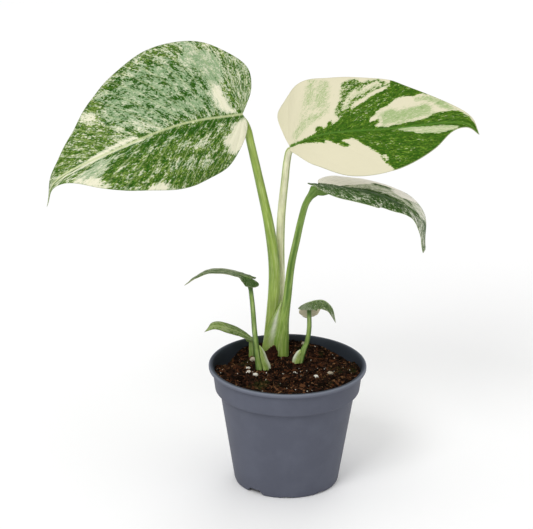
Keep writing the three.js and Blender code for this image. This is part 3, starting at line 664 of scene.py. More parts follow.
def leaf_material(name, tissues, rib, margin, underside, pitch, veins, fineness=0.5, paleness=0.5,
                  size=1.0):
    """A leaf blade: clear waxy skin, IOR 1.45, over the two layers of tissue.

    The tissues are the colours of no green, deep green alone, upper green alone, and both. The
    patches are streaks of about 3 by 10 mm, broken up by specks of about 1 by 2 mm; size scales
    both down for a small leaf. The shade within the green varies in finer streaks, as cells do
    between the veinlets, and thin pale lines mark the side veins at half their pitch in mm. The
    underside has a duller, paler skin. The eye gets a living leaf from this: no edge of a patch
    is straight, and the soft sheen is broken up by the veinlets."""
    material, tree, shader = new_material(name)
    surface = add_node(tree, "ShaderNodeUVMap", {"uv_map": "surface"})

    def noise_along(grain, detail, shift, scale=1):
        """Noise drawn out along the side veins; a shift in mm takes it from another place."""
        across, out = (1 / (size * (length * scale)) for length in grain)
        streaks = add_node(tree, "ShaderNodeMapping", {
            "Location": (0, 0, shift), "Scale": (across, out, 1)}, {"Vector": surface})
        return add_node(tree, "ShaderNodeTexNoise", {
            "Scale": 1.0, "Detail": detail, "Roughness": 0.7}, {"Vector": streaks})

    # Two noise fields, of which the deep one is partly the upper one, cut out by the shares.
    cells = []
    for shift, scale in ((0, 1), (5, DEEP_SCALE)):
        patches = noise_along(STREAK, 3.0, shift, scale)
        specks = noise_along(SPECK, 3.0, shift + 2, scale)
        cells.append(add_node(tree, "ShaderNodeMix", {"data_type": "FLOAT", SHARE: fineness}, {
            VALUE_A: patches, VALUE_B: specks}))
    related = add_node(tree, "ShaderNodeMix", {"data_type": "FLOAT", SHARE: DEEP_OWN}, {
        VALUE_A: cells[0], VALUE_B: cells[1]})
    layers = []
    for title, field, (reach, edge) in (
        ("upper", cells[0], UPPER_CUT), ("deep", related, DEEP_CUT)
    ):
        spread = add_node(tree, "ShaderNodeMapRange", {
            "clamp": False, "From Min": 0.5 - reach, "From Max": 0.5 + reach}, {"Value": field})
        share = add_node(tree, "ShaderNodeAttribute", {"attribute_name": title})
        excess = add_node(tree, "ShaderNodeMath", {"operation": "SUBTRACT"}, {
            0: share.outputs["Fac"], 1: spread})
        layers.append(add_node(tree, "ShaderNodeMapRange", {
            "From Min": -edge, "From Max": edge}, {"Value": excess}))
    upper, deep = layers

    # The four tissues.
    none, deep_only, upper_only, both = (linear(colour) for colour in tissues)
    shade = noise_along(TONE, 4.0, 9)
    value = add_node(tree, "ShaderNodeMapRange", {
        "From Min": 0.3, "From Max": 0.7, "To Min": 0.5, "To Max": 1.5}, {"Value": shade})
    under_skin, fresh = (
        add_node(tree, "ShaderNodeMix", {"data_type": "RGBA", COLOUR_A: pale, COLOUR_B: green}, {
            SHARE: deep})
        for pale, green in ((none, deep_only), (upper_only, both))
    )
    toned = add_node(tree, "ShaderNodeHueSaturation", links={"Color": fresh, "Value": value})
    mosaic = add_node(tree, "ShaderNodeMix", {"data_type": "RGBA"}, {
        SHARE: upper, COLOUR_A: under_skin, COLOUR_B: toned})

    # Pale lines over the side veins, the midrib and the margin, then the underside.
    marks = add_node(tree, "ShaderNodeSeparateXYZ", links={0: surface}).outputs["X"]
    turns = add_node(tree, "ShaderNodeMath", {"operation": "DIVIDE", 1: pitch}, {0: marks})
    off_vein = add_node(tree, "ShaderNodeMath", {"operation": "PINGPONG", 1: 0.25}, {0: turns})
    line = add_node(tree, "ShaderNodeMapRange", {
        "From Min": 0.01, "From Max": 0.05, "To Min": veins, "To Max": 0.0}, {"Value": off_vein})
    broken_line = add_node(tree, "ShaderNodeMapRange", {
        "From Min": 0.35, "From Max": 0.6}, {"Value": shade})
    veined = add_node(tree, "ShaderNodeMath", {"operation": "MULTIPLY"}, {0: line, 1: broken_line})
    coats = [(veined, rib)]
    for title, (near, far, most), tint in (
        ("from_midrib", RIB_BAND, rib), ("to_edge", MARGIN_BAND, margin)
    ):
        distance = add_node(tree, "ShaderNodeAttribute", {"attribute_name": title})
        band = add_node(tree, "ShaderNodeMapRange", {
            "From Min": near, "From Max": far, "To Min": most, "To Max": 0.0}, {
            "Value": distance.outputs["Fac"]})
        coats.append((band, tint))
    face = add_node(tree, "ShaderNodeAttribute", {"attribute_name": "underside"})
    below = add_node(tree, "ShaderNodeMath", {"operation": "MULTIPLY", 1: paleness}, {
        0: face.outputs["Fac"]})
    colour = mosaic
    for share, tint in (*coats, (below, underside)):
        colour = add_node(tree, "ShaderNodeMix", {"data_type": "RGBA", COLOUR_B: linear(tint)}, {
            SHARE: share, COLOUR_A: colour})

    # Veinlets break up the sheen.
    veinlets = noise_along(VEINLET, 3.0, 14)
    bump = add_node(tree, "ShaderNodeBump", {"Strength": 0.4, "Distance": 0.4 * MM}, {
        "Height": veinlets})
    gloss = add_node(tree, "ShaderNodeMapRange", {"To Min": 0.37, "To Max": 0.57}, {
        "Value": veinlets})
    set_node(tree, shader, {"IOR": 1.45, "Specular IOR Level": 0.12}, {
        "Base Color": colour, "Normal": bump, "Roughness": gloss})
    return material


# The colours are the four tissues, then the rib, the margin and the underside.
left_leaf = leaf_material(
    "mottled_leaf_blade", ("#e6e3c8", "#86a176", "#8fa64c", "#2a560a"),
    "#c3cc98", "#7d8a5e", "#a3ae84", pitch=13, veins=0.38)
cream_leaf = leaf_material(
    "cream_leaf_blade", ("#dcd6b9", "#9fb47b", "#819e33", "#335d0c"),
    "#55802c", "#c4c3a0", "#d0cbab", pitch=12, veins=0.0, fineness=0.6)
right_leaf = leaf_material(
    "arched_leaf_blade", ("#fffaf0", "#8a9c70", "#6d863e", "#32541d"),
    "#778a5c", "#8a976c", "#a3ae84", pitch=11, veins=0.3, fineness=0.55)
small_leaf = leaf_material(
    "small_leaf_blade", ("#a9ae8c", "#66795c", "#657e36", "#2f4d1c"),
    "#93a56c", "#7d8a60", "#b5ad8c", pitch=5, veins=0.3, size=0.55)
young_leaf = leaf_material(
    "young_leaf_blade", ("#9aa577", "#758a5c", "#778e3e", "#425c26"),
    "#9fb072", "#5f7042", "#a8ac82", pitch=3, veins=0.3, size=0.6)
newest_leaf = leaf_material(
    "newest_leaf_blade", ("#ccccb8", "#8f9a88", "#82915c", "#40582f"),
    "#9aac7c", "#5f7048", "#f0e6ca", pitch=5, veins=0.3, paleness=0.85, size=0.5)
print("leaf materials:", sum(m.name.endswith("leaf_blade") for m in bpy.data.materials))

# %% [markdown]
# ## The six leaves
# Each leaf now takes its sheet, its patches and its tissue colours. The grid of a large leaf is
# about a millimetre fine, which is as fine as its outline and its veins need.

# %% Make the leaves
LEAVES = {
    # blade: material, slot, steps round the edge, stops out to it, depth of the veins in mm,
    # height of the waves in mm, ground as the shares of green in the upper and the deep layer
    "left_blade": (left_leaf, "green_leaf", 190, 44, 0.2, 0.55, (0.56, 0.6)),
    "cream_blade": (cream_leaf, "cream_leaf", 180, 40, 0.16, 0.4, (-0.3, -0.15)),
    "right_blade": (right_leaf, "green_leaf", 160, 36, 0.16, 0.5, (0.66, 0.74)),
    "small_left_blade": (small_leaf, "green_leaf", 90, 18, 0.1, 0.25, (0.5, 0.6)),
    "young_blade": (young_leaf, "green_leaf", 70, 12, 0.06, 0.1, (0.55, 0.55)),
    "small_right_blade": (newest_leaf, "green_leaf", 80, 16, 0.1, 0.25, (0.55, 0.65)),
}
for name, (material, slot, steps, stops, depth, wave, ground) in LEAVES.items():
    points, faces, uv, places = blade_sheet(BLADES[name], steps, stops, depth, wave)
    upper, deep = green_shares(places, ground, PATCHES[name])
    fields = {
        "upper": upper,
        "deep": deep,
        "from_midrib": np.abs(places[:, 1]),
        "to_edge": places[:, 3],
        "underside": (places[:, 2] < 0).astype(float),
    }
    new_piece(name + "_leaf", points, faces, material, [name], uv, fields)

# %% [markdown]
# ## The leaf stalks
# A stalk is a fleshy rod that tapers upwards and widens at its foot into a sheath, which clasps
# the next stalk. A curve with a round bevel would give a pipe, so each stalk is skinned over
# rings instead. It runs on a little under its midrib, where it thins out and is pressed flat
# against the underside of the blade, as a real stalk grows into its leaf.

# %% Measurements of the stalks
# A path is a curve through places, which were picked on the photo and turned into millimetres,
# at a guessed depth, outside this lesson. A girth is a list of (share of the path, half width
# across the view, half depth along it), and reach is how far the stalk runs on under its midrib.
# A line is a stripe of another colour along the stalk: (turn in degrees, half its width in
# degrees, share of the path where it starts, share where it ends, strength).
# Some lines are painted shade: they darken a stalk's top where it runs in under its blade.
STALKS = {
    "left_stalk": {
        "path": [(-15.4, 33, 80), (-14.7, 33, 91.7), (-13.6, 33, 104.2), (-11.9, 33, 125),
            (-10.9, 33, 141.5), (-10.9, 33, 158), (-12.2, 32.8, 174.4), (-16, 32, 198.9),
            (-19.4, 31, 215.4), (-24.7, 29, 240), (-29.7, 26.5, 263), (-31.9, 24.9, 273.2),
            (-35.3, 22.2, 281)],
        "girth": [(0, 4.9, 4.2), (0.3, 4.6, 4), (0.5, 4.1, 3.8), (0.62, 3.6, 3.5),
            (0.76, 3.25, 3.2), (0.95, 3, 3), (1, 2.9, 2.8)],
        "blade": "left_blade", "reach": 15,
        "lines": [(200, 44, 0.3, 1, 0.6), (335, 14, 0.4, 1, 0.6)],
    },
    "cream_stalk": {
        "path": [(-6.8, 41, 80), (-6.5, 41, 95), (-6.2, 41.5, 138), (-6.6, 39.5, 178),
            (-6, 37, 201.5), (-3.6, 32.7, 231), (-1.9, 29.5, 249), (-0.2, 27.6, 256.2)],
        "girth": [(0, 4, 3.6), (0.45, 3.4, 3.3), (0.75, 3.1, 3.1), (1, 2.7, 2.6)],
        "blade": "cream_blade", "reach": 14,
        "lines": [(328, 15, 0.45, 1.1, 0.9), (210, 15, 0.8, 1.1, 0.95), (208, 12, 0.5, 0.82, 0.4)],
    },
    "right_stalk": {
        "path": [(-5.6, 26.5, 80), (-5.5, 26.5, 92.9), (-5.3, 26.5, 102.9), (-3.5, 26.5, 119.5),
            (-1, 26.5, 136), (0.9, 26, 156.7), (2.6, 24.3, 169.7), (5.8, 21.3, 187),
            (9, 17, 204.8), (12.3, 12.2, 219.3), (15, 9.9, 225.3), (18, 8.2, 229.8),
            (20.2, 7, 232.8)],
        "girth": [(0, 6.6, 5), (0.16, 6.1, 4.6), (0.24, 4.5, 4), (0.34, 3.2, 3.1),
            (0.6, 2.8, 2.8), (0.91, 2.5, 2.6), (0.95, 2.8, 2.5), (0.98, 4, 2.4), (1, 4.9, 2.2)],
        "blade": "right_blade", "reach": 13,
        # The third line is painted shade round the stalk's top under its blade; the second darkens the
        # whole upper half.
        "lines": [(262, 22, 0.33, 0.8, 0.8), (0, 360, 0.5, 1.4, 0.32), (270, 180, 0.93, 1.4, 0.7),
            (330, 16, 0, 0.5, 0.5), (215, 22, 0.75, 1, 0.5), (325, 20, 0.8, 1, 0.5)],
    },
    "small_left_stalk": {
        "path": [(-20.4, 1, 80), (-21.2, 1, 90), (-22.8, 1, 99.5), (-23.9, 1, 108.7),
            (-25.3, 1.2, 120.7), (-26.4, 1.8, 134.7), (-27.5, 2.3, 146), (-28.9, 3, 156),
            (-30.6, 3.6, 161.2)],
        "girth": [(0, 3.3, 3), (0.12, 3.1, 2.9), (0.24, 2.3, 2.2), (0.36, 2.1, 2),
            (0.9, 1.7, 1.7), (1, 2.2, 1.8)],
        "blade": "small_left_blade", "reach": 6,
        # The last line is painted shade on the front of the stalk's top, under its blade.
        "lines": [(205, 32, 0, 1, 0.85), (330, 24, 0, 1, 0.75), (270, 90, 0.86, 1.2, 0.95)],
    },
    "young_stalk": {
        "path": [(-27.7, 29.5, 80), (-27.7, 29.5, 90), (-28, 29.7, 96), (-28.6, 30, 101)],
        "girth": [(0, 2.6, 2.4), (1, 1.8, 1.8)],
        "blade": "young_blade", "reach": 5, "lines": [(0, 60, 0, 1, 0.5)],
    },
    "small_right_stalk": {
        "path": [(8.6, 11.8, 80), (9.5, 12, 88.7), (11.1, 12.4, 96.7), (12.5, 13.2, 101.5),
            (14.6, 14, 106.5), (16.2, 15.3, 117.7), (16, 15.8, 130), (16, 15.9, 136.6)],
        "girth": [(0, 2, 2), (0.16, 2, 2), (0.33, 2.4, 2.2), (0.45, 1.9, 1.9), (0.9, 1.7, 1.7),
            (1, 1.9, 1.8)],
        "blade": "small_right_blade", "reach": 4,
        # The last line is painted shade on the front of the stalk's top, under its blade.
        "lines": [(335, 32, 0, 1, 0.9), (205, 20, 0, 1, 0.4), (270, 90, 0.86, 1.2, 0.95)],
    },
}


# %% Under the blade
UNDER_SHARES = (0.25, 0.6, 1)  # places under the midrib that the path passes, over the reach
UNDER_RISE, UNDER_GAP = 0.62, 0.35  # how far the path nears the midrib, and the mm it keeps
PRESS_DEPTH = 0.25  # how deep in mm the pressed face lies under the middle of the blade
PRESS_FREE = 0.8  # how fast the stalk comes free behind the joint


def into_blade(spec, surface):
    """The stalk's path, run on below the midrib so that the stalk melts into the leaf."""
    reach = spec["reach"]
    along = np.array(UNDER_SHARES) * reach
    place, _, _, up, _ = surface.directions(along)
    sink = spec["girth"][-1][2] * (1 - UNDER_RISE * along / reach) + UNDER_GAP
    return [*spec["path"], *(place - up * sink[:, None])]


def under_blade(points, surface):
    """Presses the points that would stand out over the joint down to the blade's underside."""
    place, forward, across, up, _ = (v[0] for v in surface.directions(np.zeros(1)))
    offset = points - place
    along, side, height = offset @ forward, offset @ across, offset @ up
    folds = [surface.spec["halves"][half]["fold"][0] for half in (0, 1)]
    slope = np.tan(np.radians(np.where(side > 0, *folds)))
    limit = np.abs(side) * slope - PRESS_DEPTH + PRESS_FREE * np.maximum(0, -along)
    return points - up * np.maximum(0, height - limit)[:, None]


# %% Build a stalk
LAST_TAPER = 0.65  # share of its girth that a stalk loses under the blade
LINE_FADE = 0.08  # share of the path over which a line fades in or out


def line_strengths(lines, angle, shares):
    """How strong the lines are at each place of a rod."""
    line = np.zeros((len(shares), len(angle)))
    for middle, spread, start, end, strength in lines:
        turn = np.abs((np.degrees(angle) - middle + 180) % 360 - 180)
        starts = np.clip((shares - start) / LINE_FADE + 0.5, 0, 1)
        runs = starts * np.clip((end - shares) / LINE_FADE + 0.5, 0, 1)
        line = np.maximum(line, strength * np.clip(1.5 - turn / spread, 0, 1) * runs[:, None])
    return line


def stalk_rod(spec, rings, sides):
    """Points, faces and fields of a stalk, closed at both ends."""
    surface = BladeSurface(BLADES[spec["blade"]])
    outer = Path(spec["path"]).length
    path = Path(into_blade(spec, surface))
    girth = np.asarray(spec["girth"], float)
    distance = np.linspace(0, path.length, rings + 1)
    shares = np.minimum(distance / outer, 1)
    taper = 1 - LAST_TAPER * np.clip((distance - outer) / (path.length - outer), 0, 1)
    centre, forward = path.at(distance)
    depth_axis = np.array([0, 1, 0]) - forward * forward[:, 1:2]
    depth_axis /= np.linalg.norm(depth_axis, axis=1)[:, None]
    width_axis = np.cross(depth_axis, forward)
    width, depth = (np.interp(shares, girth[:, 0], girth[:, k]) * taper for k in (1, 2))
    angle = circle(sides)
    flat = [width[:, None] * np.cos(angle), depth[:, None] * np.sin(angle)]
    points = centre[:, None]
    for axis, offset in zip((width_axis, depth_axis), flat):
        points = points + axis[:, None] * offset[..., None]
    points = under_blade(points.reshape(-1, 3), surface)
    points = np.vstack([points, centre[0], points[-sides:].mean(axis=0)])
    grain = np.stack([*flat, np.broadcast_to(distance[:, None], flat[0].shape)], -1)
    fields = {
        "grain": np.vstack([grain.reshape(-1, 3), (0, 0, 0), (0, 0, path.length)]),
        "line": np.append(line_strengths(spec["lines"], angle, shares), [0, 0]),
    }
    return points, ring_faces(rings + 1, sides), fields


# %% Stalk material
def stalk_material(name, dark, mid, light, line, span=34):
    """A leaf stalk: smooth, slightly waxy skin over strings of tissue.

    The strings are about 1 mm wide and some centimetres long, paler between and darker where
    the green shows through; they stand out by a few hundredths of a millimetre. The eye gets
    the juicy, ribbed look of a stem that carries water from this."""
    material, tree, shader = new_material(name)
    grain = add_node(tree, "ShaderNodeAttribute", {"attribute_name": "grain"})

    def strings(across, along, shift):
        """Noise in long strings, with their width and length in mm."""
        place = add_node(tree, "ShaderNodeMapping", {
            "Location": (shift, 0, 0), "Scale": (1 / across, 1 / across, 1 / along)}, {
            "Vector": grain.outputs["Vector"]})
        return add_node(tree, "ShaderNodeTexNoise", {
            "Scale": 1.0, "Detail": 3.0, "Roughness": 0.6}, {"Vector": place})

    broad, fine = strings(1.5, span, 0), strings(0.7, 0.7 * span, 5)
    cloud = strings(6, 0.4 * span, 9)
    depth = add_node(tree, "ShaderNodeMapRange", {
        "From Min": 0.36, "From Max": 0.56}, {"Value": broad})
    pale = add_node(tree, "ShaderNodeMapRange", {
        "From Min": 0.5, "From Max": 0.7, "To Max": 0.85}, {"Value": fine})
    lines = add_node(tree, "ShaderNodeAttribute", {"attribute_name": "line"})
    colour = add_node(tree, "ShaderNodeMix", {
        "data_type": "RGBA", COLOUR_A: linear(dark), COLOUR_B: linear(mid)}, {SHARE: depth})
    for share, tint in ((pale, light), (lines.outputs["Fac"], line)):
        colour = add_node(tree, "ShaderNodeMix", {"data_type": "RGBA", COLOUR_B: linear(tint)}, {
            SHARE: share, COLOUR_A: colour})
    value = add_node(tree, "ShaderNodeMapRange", {
        "From Min": 0.35, "From Max": 0.65, "To Min": 0.88, "To Max": 1.12}, {"Value": cloud})
    toned = add_node(tree, "ShaderNodeHueSaturation", links={"Color": colour, "Value": value})
    bump = add_node(tree, "ShaderNodeBump", {"Strength": 0.5, "Distance": 0.3 * MM}, {
        "Height": fine})
    set_node(tree, shader, {"Roughness": 0.42, "IOR": 1.45, "Specular IOR Level": 0.35}, {
        "Base Color": toned, "Normal": bump})
    return material


# %% Make the stalks
# The colours are dark strings, the common tone, light strings and the lines, which near the top of some
# stalks are painted shade under the blade.
stalk_skins = {
    "left_stalk": stalk_material("green_leaf_stalk", "#829c3e", "#9bb154", "#c4d190", "#5f7d28"),
    "cream_stalk": stalk_material("cream_leaf_stalk", "#cdd09c", "#e4e3bf", "#f3f1da", "#8fa452"),
    "right_stalk": stalk_material("arched_leaf_stalk", "#6f8f36", "#8aa54a", "#b3c57e", "#43691f"),
    "small_left_stalk": stalk_material(
        "small_leaf_stalk", "#66843a", "#86a050", "#b3c38a", "#3f5f24", span=20),
}
for name in ("young_stalk", "small_right_stalk"):
    stalk_skins[name] = stalk_skins["small_left_stalk"]
for name, spec in STALKS.items():
    points, faces, fields = stalk_rod(spec, rings=110, sides=36)
    slot = "cream_stalk" if name == "cream_stalk" else "green_stalk"
    new_piece(name + "_rod", points, faces, stalk_skins[name], [name], fields=fields)

# %% [markdown]
# ## Leaf sheaths
# The foot of a stalk is a thin sheath that once wrapped the next leaf. Its edge has come free and
# lies over the neighbour as a pale, papery wing. Each wing is a sheet between two measured edges
# that bulges towards the open side, with a second layer behind it for its thickness.

# %% Measurements of the sheaths
# A sheath is its free edge, its edge on the stalk, its bulge in mm and a pale strip: (share
# across, share down, spread across, spread down).
SHEATHS = {
    "right_stalk_sheath": (
        [(-5.2, 26.2, 136), (-8.8, 27.6, 128), (-12.2, 28.3, 121), (-15.2, 28.6, 113.4),
         (-17.6, 29.6, 106.4), (-19, 31.2, 100), (-19.7, 31.8, 94), (-19.9, 32, 86)],
        [(-5, 26, 135.6), (-5.6, 24.6, 129.5), (-5.8, 23.9, 123), (-6, 23.2, 115.6),
         (-6, 22.2, 109), (-6, 21.6, 102.3), (-6.2, 21.4, 94), (-6.3, 21.3, 86)],
        1, (0.5, 0.36, 0.17, 0.3)),
    "small_left_sheath": (
        [(-21.3, -1.2, 109.8), (-19.4, -0.6, 107.4), (-17.7, 0.2, 104.4), (-16.3, 0.8, 100.8),
         (-15, 1.2, 97), (-13.2, 1.6, 92.7), (-12.2, 1.8, 86)],
        [(-21.8, -1.1, 109.4), (-21.4, -1.2, 106), (-21, -1.4, 102), (-20.4, -1.6, 98.5),
         (-19.6, -1.8, 95), (-18.6, -2, 91), (-17.4, -2, 86)],
        1.2, (0.06, 0.7, 0.2, 0.6)),
    "small_right_sheath": (
        [(9.4, 11, 101.6), (7.2, 10.6, 100.2), (5.4, 10.4, 97.7), (4.1, 10.4, 94.9),
         (3.5, 10.4, 92.2), (3.7, 10.6, 86)],
        [(10.2, 10.8, 101.2), (10.2, 10.4, 98.6), (10, 10.2, 96), (9.6, 10, 93.4), (9, 9.9, 90.8),
         (8.4, 9.8, 86)],
        1, (0.1, 0.4, 0.25, 0.5)),
}


# %% Make the sheaths
BULGE_RISE = 4  # how fast a sheath bulges below its top
BULGE_ROUND = 0.8  # power that makes the bulge fuller than an arch


def sheath_sheet(free, held, bulge, patch, rings=48, columns=14, thickness=0.4):
    """Points, faces and fields of a thin sheet between two edges, closed all round."""
    down = np.linspace(0, 1, rings + 1)
    a, b = curve_through(free, down), curve_through(held, down)
    t = np.linspace(0, 1, columns + 1)
    front = a[:, None] * (1 - t)[:, None] + b[:, None] * t[:, None]
    full = np.minimum(1, BULGE_RISE * down)[:, None]
    front[..., 1] -= bulge * full * np.sin(np.pi * t) ** BULGE_ROUND
    across = np.linalg.norm(b - a, axis=1)[:, None] * t
    length = np.linalg.norm(np.asarray(free[0]) - free[-1])
    below = np.broadcast_to(down[:, None] * length, across.shape)
    grain = np.stack([across, np.zeros_like(across), below], -1).reshape(-1, 3)
    strip_across = np.exp(-(((t - patch[0]) / patch[2]) ** 2))
    pale = strip_across * np.exp(-(((down[:, None] - patch[1]) / patch[3]) ** 2))
    points = np.vstack([front.reshape(-1, 3), (front + (0, thickness, 0)).reshape(-1, 3)])
    count = across.size
    i, j = np.meshgrid(np.arange(rings), np.arange(columns), indexing="ij")
    corners = (i * (columns + 1) + j).ravel().tolist()
    faces = [(k, k + columns + 1, k + columns + 2, k + 1) for k in corners]
    faces += [tuple(count + v for v in reversed(face)) for face in faces]
    border = [(0, k) for k in range(columns)] + [(k, columns) for k in range(rings)]
    border += [(rings, columns - k) for k in range(columns)] + [(rings - k, 0) for k in range(rings)]
    ring = [r * (columns + 1) + s for r, s in border]
    for p, q in zip(ring, ring[1:] + ring[:1]):
        faces.append((p, q, q + count, p + count))
    return points, faces, {"grain": np.tile(grain, (2, 1)), "line": np.tile(pale.ravel(), 2)}


sheath_skin = stalk_material(
    "papery_leaf_sheath", "#7c9a3e", "#97ae56", "#c2cf98", "#d6dcc4", span=14)
for name, (free, held, bulge, patch) in SHEATHS.items():
    points, faces, fields = sheath_sheet(free, held, bulge, patch)
    new_piece(name, points, faces, sheath_skin, [], fields=fields)

# %% [markdown]
# ## The nursery pot
# The pot is injection moulded polypropylene: a tapered body, a collar that stiffens it, and a
# rolled lip. A turned profile gives all of that. The notches in the foot let water out; they are
# made by lifting the foot ring over each one, so no cut leaves a ragged mesh. Two fields mark
# where the inside wall gets a darker colour and where a pale highlight is painted along the lip.

# %% Measurements of the pot
POT = {
    "height": 94.5, "lip_radius": 60, "lip_height": 3, "collar_top": 57.2, "collar_foot": 55,
    "collar_drop": 19.5, "shoulder": 51.4, "shoulder_drop": 1.5, "foot": 39.7, "foot_inner": 33,
    "hub": 11, "wall": 1.3, "floor": 4, "floor_underside": 2.4,
}
# A notch is its turn in degrees from the front, its width and its height. Three were measured,
# and the rest are spaced evenly round the sides and the back.
NOTCHES = [(-37, 15, 4.2), (1, 9.5, 1.3), (41, 10, 1.5)]
NOTCHES += [(81 + 40 * k, 10, 2.2) for k in range(6)]
DRAINS = {"count": 9, "ring": 26, "radius": 2.6, "depth": 12}


# %% Turn a profile
def rounded(profile, radii, pieces=5):
    """A profile with its corners rounded by the given radii."""
    profile = [np.asarray(p, float) for p in profile]
    result = []
    for i, corner in enumerate(profile):
        radius = radii[i]
        if i in (0, len(profile) - 1) or radius == 0:
            result.append(corner)
            continue
        before, after = profile[i - 1] - corner, profile[i + 1] - corner
        a = corner + before / np.linalg.norm(before) * min(radius, np.linalg.norm(before) / 2)
        b = corner + after / np.linalg.norm(after) * min(radius, np.linalg.norm(after) / 2)
        for k in range(pieces + 1):
            t = k / pieces
            result.append((1 - t) ** 2 * a + 2 * t * (1 - t) * corner + t**2 * b)
    return np.asarray(result)


def even_steps(profile, longest):
    """The same profile with no step longer than the given one."""
    result = [profile[0]]
    for a, b in zip(profile, profile[1:]):
        count = max(1, math.ceil(np.linalg.norm(b - a) / longest))
        result += [a + (b - a) * k / count for k in range(1, count + 1)]
    return np.asarray(result)


def turned(profile, sides):
    """A closed turned shell. The profile starts and ends on the axis."""
    ring = np.stack([np.cos(circle(sides)), np.sin(circle(sides))], -1)
    middle = profile[1:-1]
    rings = [np.concatenate([r * ring, np.full((sides, 1), z)], axis=1) for r, z in middle]
    points = np.vstack([*rings, (0, 0, profile[0][1]), (0, 0, profile[-1][1])])
    return points, ring_faces(len(middle), sides)


# %% Shape of the pot
STEP, SIDES = 1.2, 240  # longest step of the profile in mm, and steps round the pot
wall = POT["wall"]
collar_foot = POT["height"] - POT["collar_drop"]
lip_foot = POT["height"] - POT["lip_height"]
# Corners of the profile, as ((radius, height), radius of the rounding).
outside = [
    ((0, 0), 0),
    ((POT["hub"], 0), 0.6),
    ((POT["hub"] + 1.5, POT["floor_underside"]), 0.4),
    ((POT["foot_inner"] - 1.5, POT["floor_underside"]), 0.4),
    ((POT["foot_inner"], 0), 0.4),
    ((POT["foot"], 0), 1.8),
    ((POT["shoulder"], collar_foot - POT["shoulder_drop"]), 0.5),
    ((POT["collar_foot"], collar_foot), 0.7),
    ((POT["collar_top"], lip_foot), 0.5),
    ((POT["lip_radius"], lip_foot), 0.9),
    ((POT["lip_radius"], POT["height"]), 1.2),
]
inside = [
    ((POT["collar_top"] - 0.4, POT["height"]), 0.9),
    ((POT["collar_top"] - wall, lip_foot), 0.4),
    ((POT["collar_foot"] - wall, collar_foot + 1.5), 0.5),
    ((POT["shoulder"] - wall, collar_foot - 1.5), 0.5),
    ((POT["foot"] - wall, POT["floor"]), 2),
    ((0, POT["floor"]), 0),
]
profile, radii = zip(*(outside + inside))
pot_points, pot_faces = turned(even_steps(rounded(profile, radii), STEP), SIDES)
turn = np.degrees(np.arctan2(pot_points[:, 0], -pot_points[:, 1]))
radius = np.hypot(pot_points[:, 0], pot_points[:, 1])
foot_ring = radius > POT["foot_inner"] - 1
for middle, width, height in NOTCHES:
    off_middle = np.radians((turn - middle + 180) % 360 - 180) * radius / (width / 2)
    lift = height * np.clip(1.5 * (1 - off_middle**2), 0, 1)
    low = foot_ring & (pot_points[:, 2] < height)
    pot_points[low, 2] = np.maximum(pot_points[low, 2], lift[low])
print("pot shell:", len(pot_points), "points,", len(NOTCHES), "notches")


# %% Pot material
PER_METRE = 1000  # a pattern's scale is this over the size in mm of one of its spots


def pot_material(name, shell, bloom, damp, painted_lip_highlight):
    """Injection moulded polypropylene with dark recycled pigment, IOR 1.49.

    The mould was spark eroded, which leaves a satin grain of about 0.4 mm. Handling leaves pale,
    cloudy scuffs 10 to 30 mm across. A pale highlight is painted along the lip, and the inside
    wall is given a darker colour. The eye gets a cheap, used pot from this, and not a new one."""
    material, tree, shader = new_material(name)
    place = add_node(tree, "ShaderNodeTexCoord").outputs["Object"]
    scuffs, dust, grain = (
        add_node(tree, "ShaderNodeTexNoise", {
            "Scale": PER_METRE / size, "Detail": detail, "Roughness": 0.6}, {"Vector": place})
        for size, detail in ((22, 5.0), (1.4, 2.0), (0.4, 1.0))
    )
    scuffed = add_node(tree, "ShaderNodeMapRange", {
        "From Min": 0.45, "From Max": 0.8, "To Max": 0.6}, {"Value": scuffs})
    dusty = add_node(tree, "ShaderNodeMapRange", {
        "From Min": 0.66, "From Max": 0.74, "To Max": 0.35}, {"Value": dust})
    # The inside wall gets a darker colour, and a pale highlight is painted along the lip's edge.
    inner = add_node(tree, "ShaderNodeAttribute", {"attribute_name": "inside"})
    darker_inside = add_node(tree, "ShaderNodeMath", {"operation": "MULTIPLY", 1: 0.9}, {
        0: inner.outputs["Fac"]})
    lip = add_node(tree, "ShaderNodeAttribute", {"attribute_name": "painted_lip_highlight"})
    colour = add_node(tree, "ShaderNodeMix", {
        "data_type": "RGBA", COLOUR_A: linear(shell), COLOUR_B: linear(bloom)}, {SHARE: scuffed})
    for share, tint in ((dusty, bloom), (darker_inside, damp), (lip.outputs["Fac"], painted_lip_highlight)):
        colour = add_node(tree, "ShaderNodeMix", {"data_type": "RGBA", COLOUR_B: linear(tint)}, {
            SHARE: share, COLOUR_A: colour})
    bump = add_node(tree, "ShaderNodeBump", {"Strength": 0.25, "Distance": 0.2 * MM}, {
        "Height": grain})
    gloss = add_node(tree, "ShaderNodeMapRange", {"To Min": 0.42, "To Max": 0.6}, {
        "Value": scuffs})
    set_node(tree, shader, {"IOR": 1.49, "Specular IOR Level": 0.1}, {
        "Base Color": colour, "Normal": bump, "Roughness": gloss})
    return material


# The colours are the shell, the scuffs and dust, the darker inside wall, and the painted highlight along
# the lip.
pot_plastic = pot_material("grey_polypropylene", "#565965", "#626673", "#2b3138", "#8b919d")

# %% [markdown]
# ## Drain holes
# The floor of the pot has a ring of round holes. A ring of equal cuts is work for Geometry Nodes:
# a circle of points carries one cylinder each, and a single boolean takes them all from the shell.


# %% Trees and what grows from them
def new_tree(name, inputs):
    """A Geometry Nodes tree with named inputs: the tree and the sockets that give them."""
    tree = bpy.data.node_groups.new(name, "GeometryNodeTree")
    for title, kind in {"Geometry": "Geometry", **inputs}.items():
        tree.interface.new_socket(title, in_out="INPUT", socket_type="NodeSocket" + kind)
    tree.interface.new_socket("Geometry", in_out="OUTPUT", socket_type="NodeSocketGeometry")
    return tree, add_node(tree, "NodeGroupInput").outputs


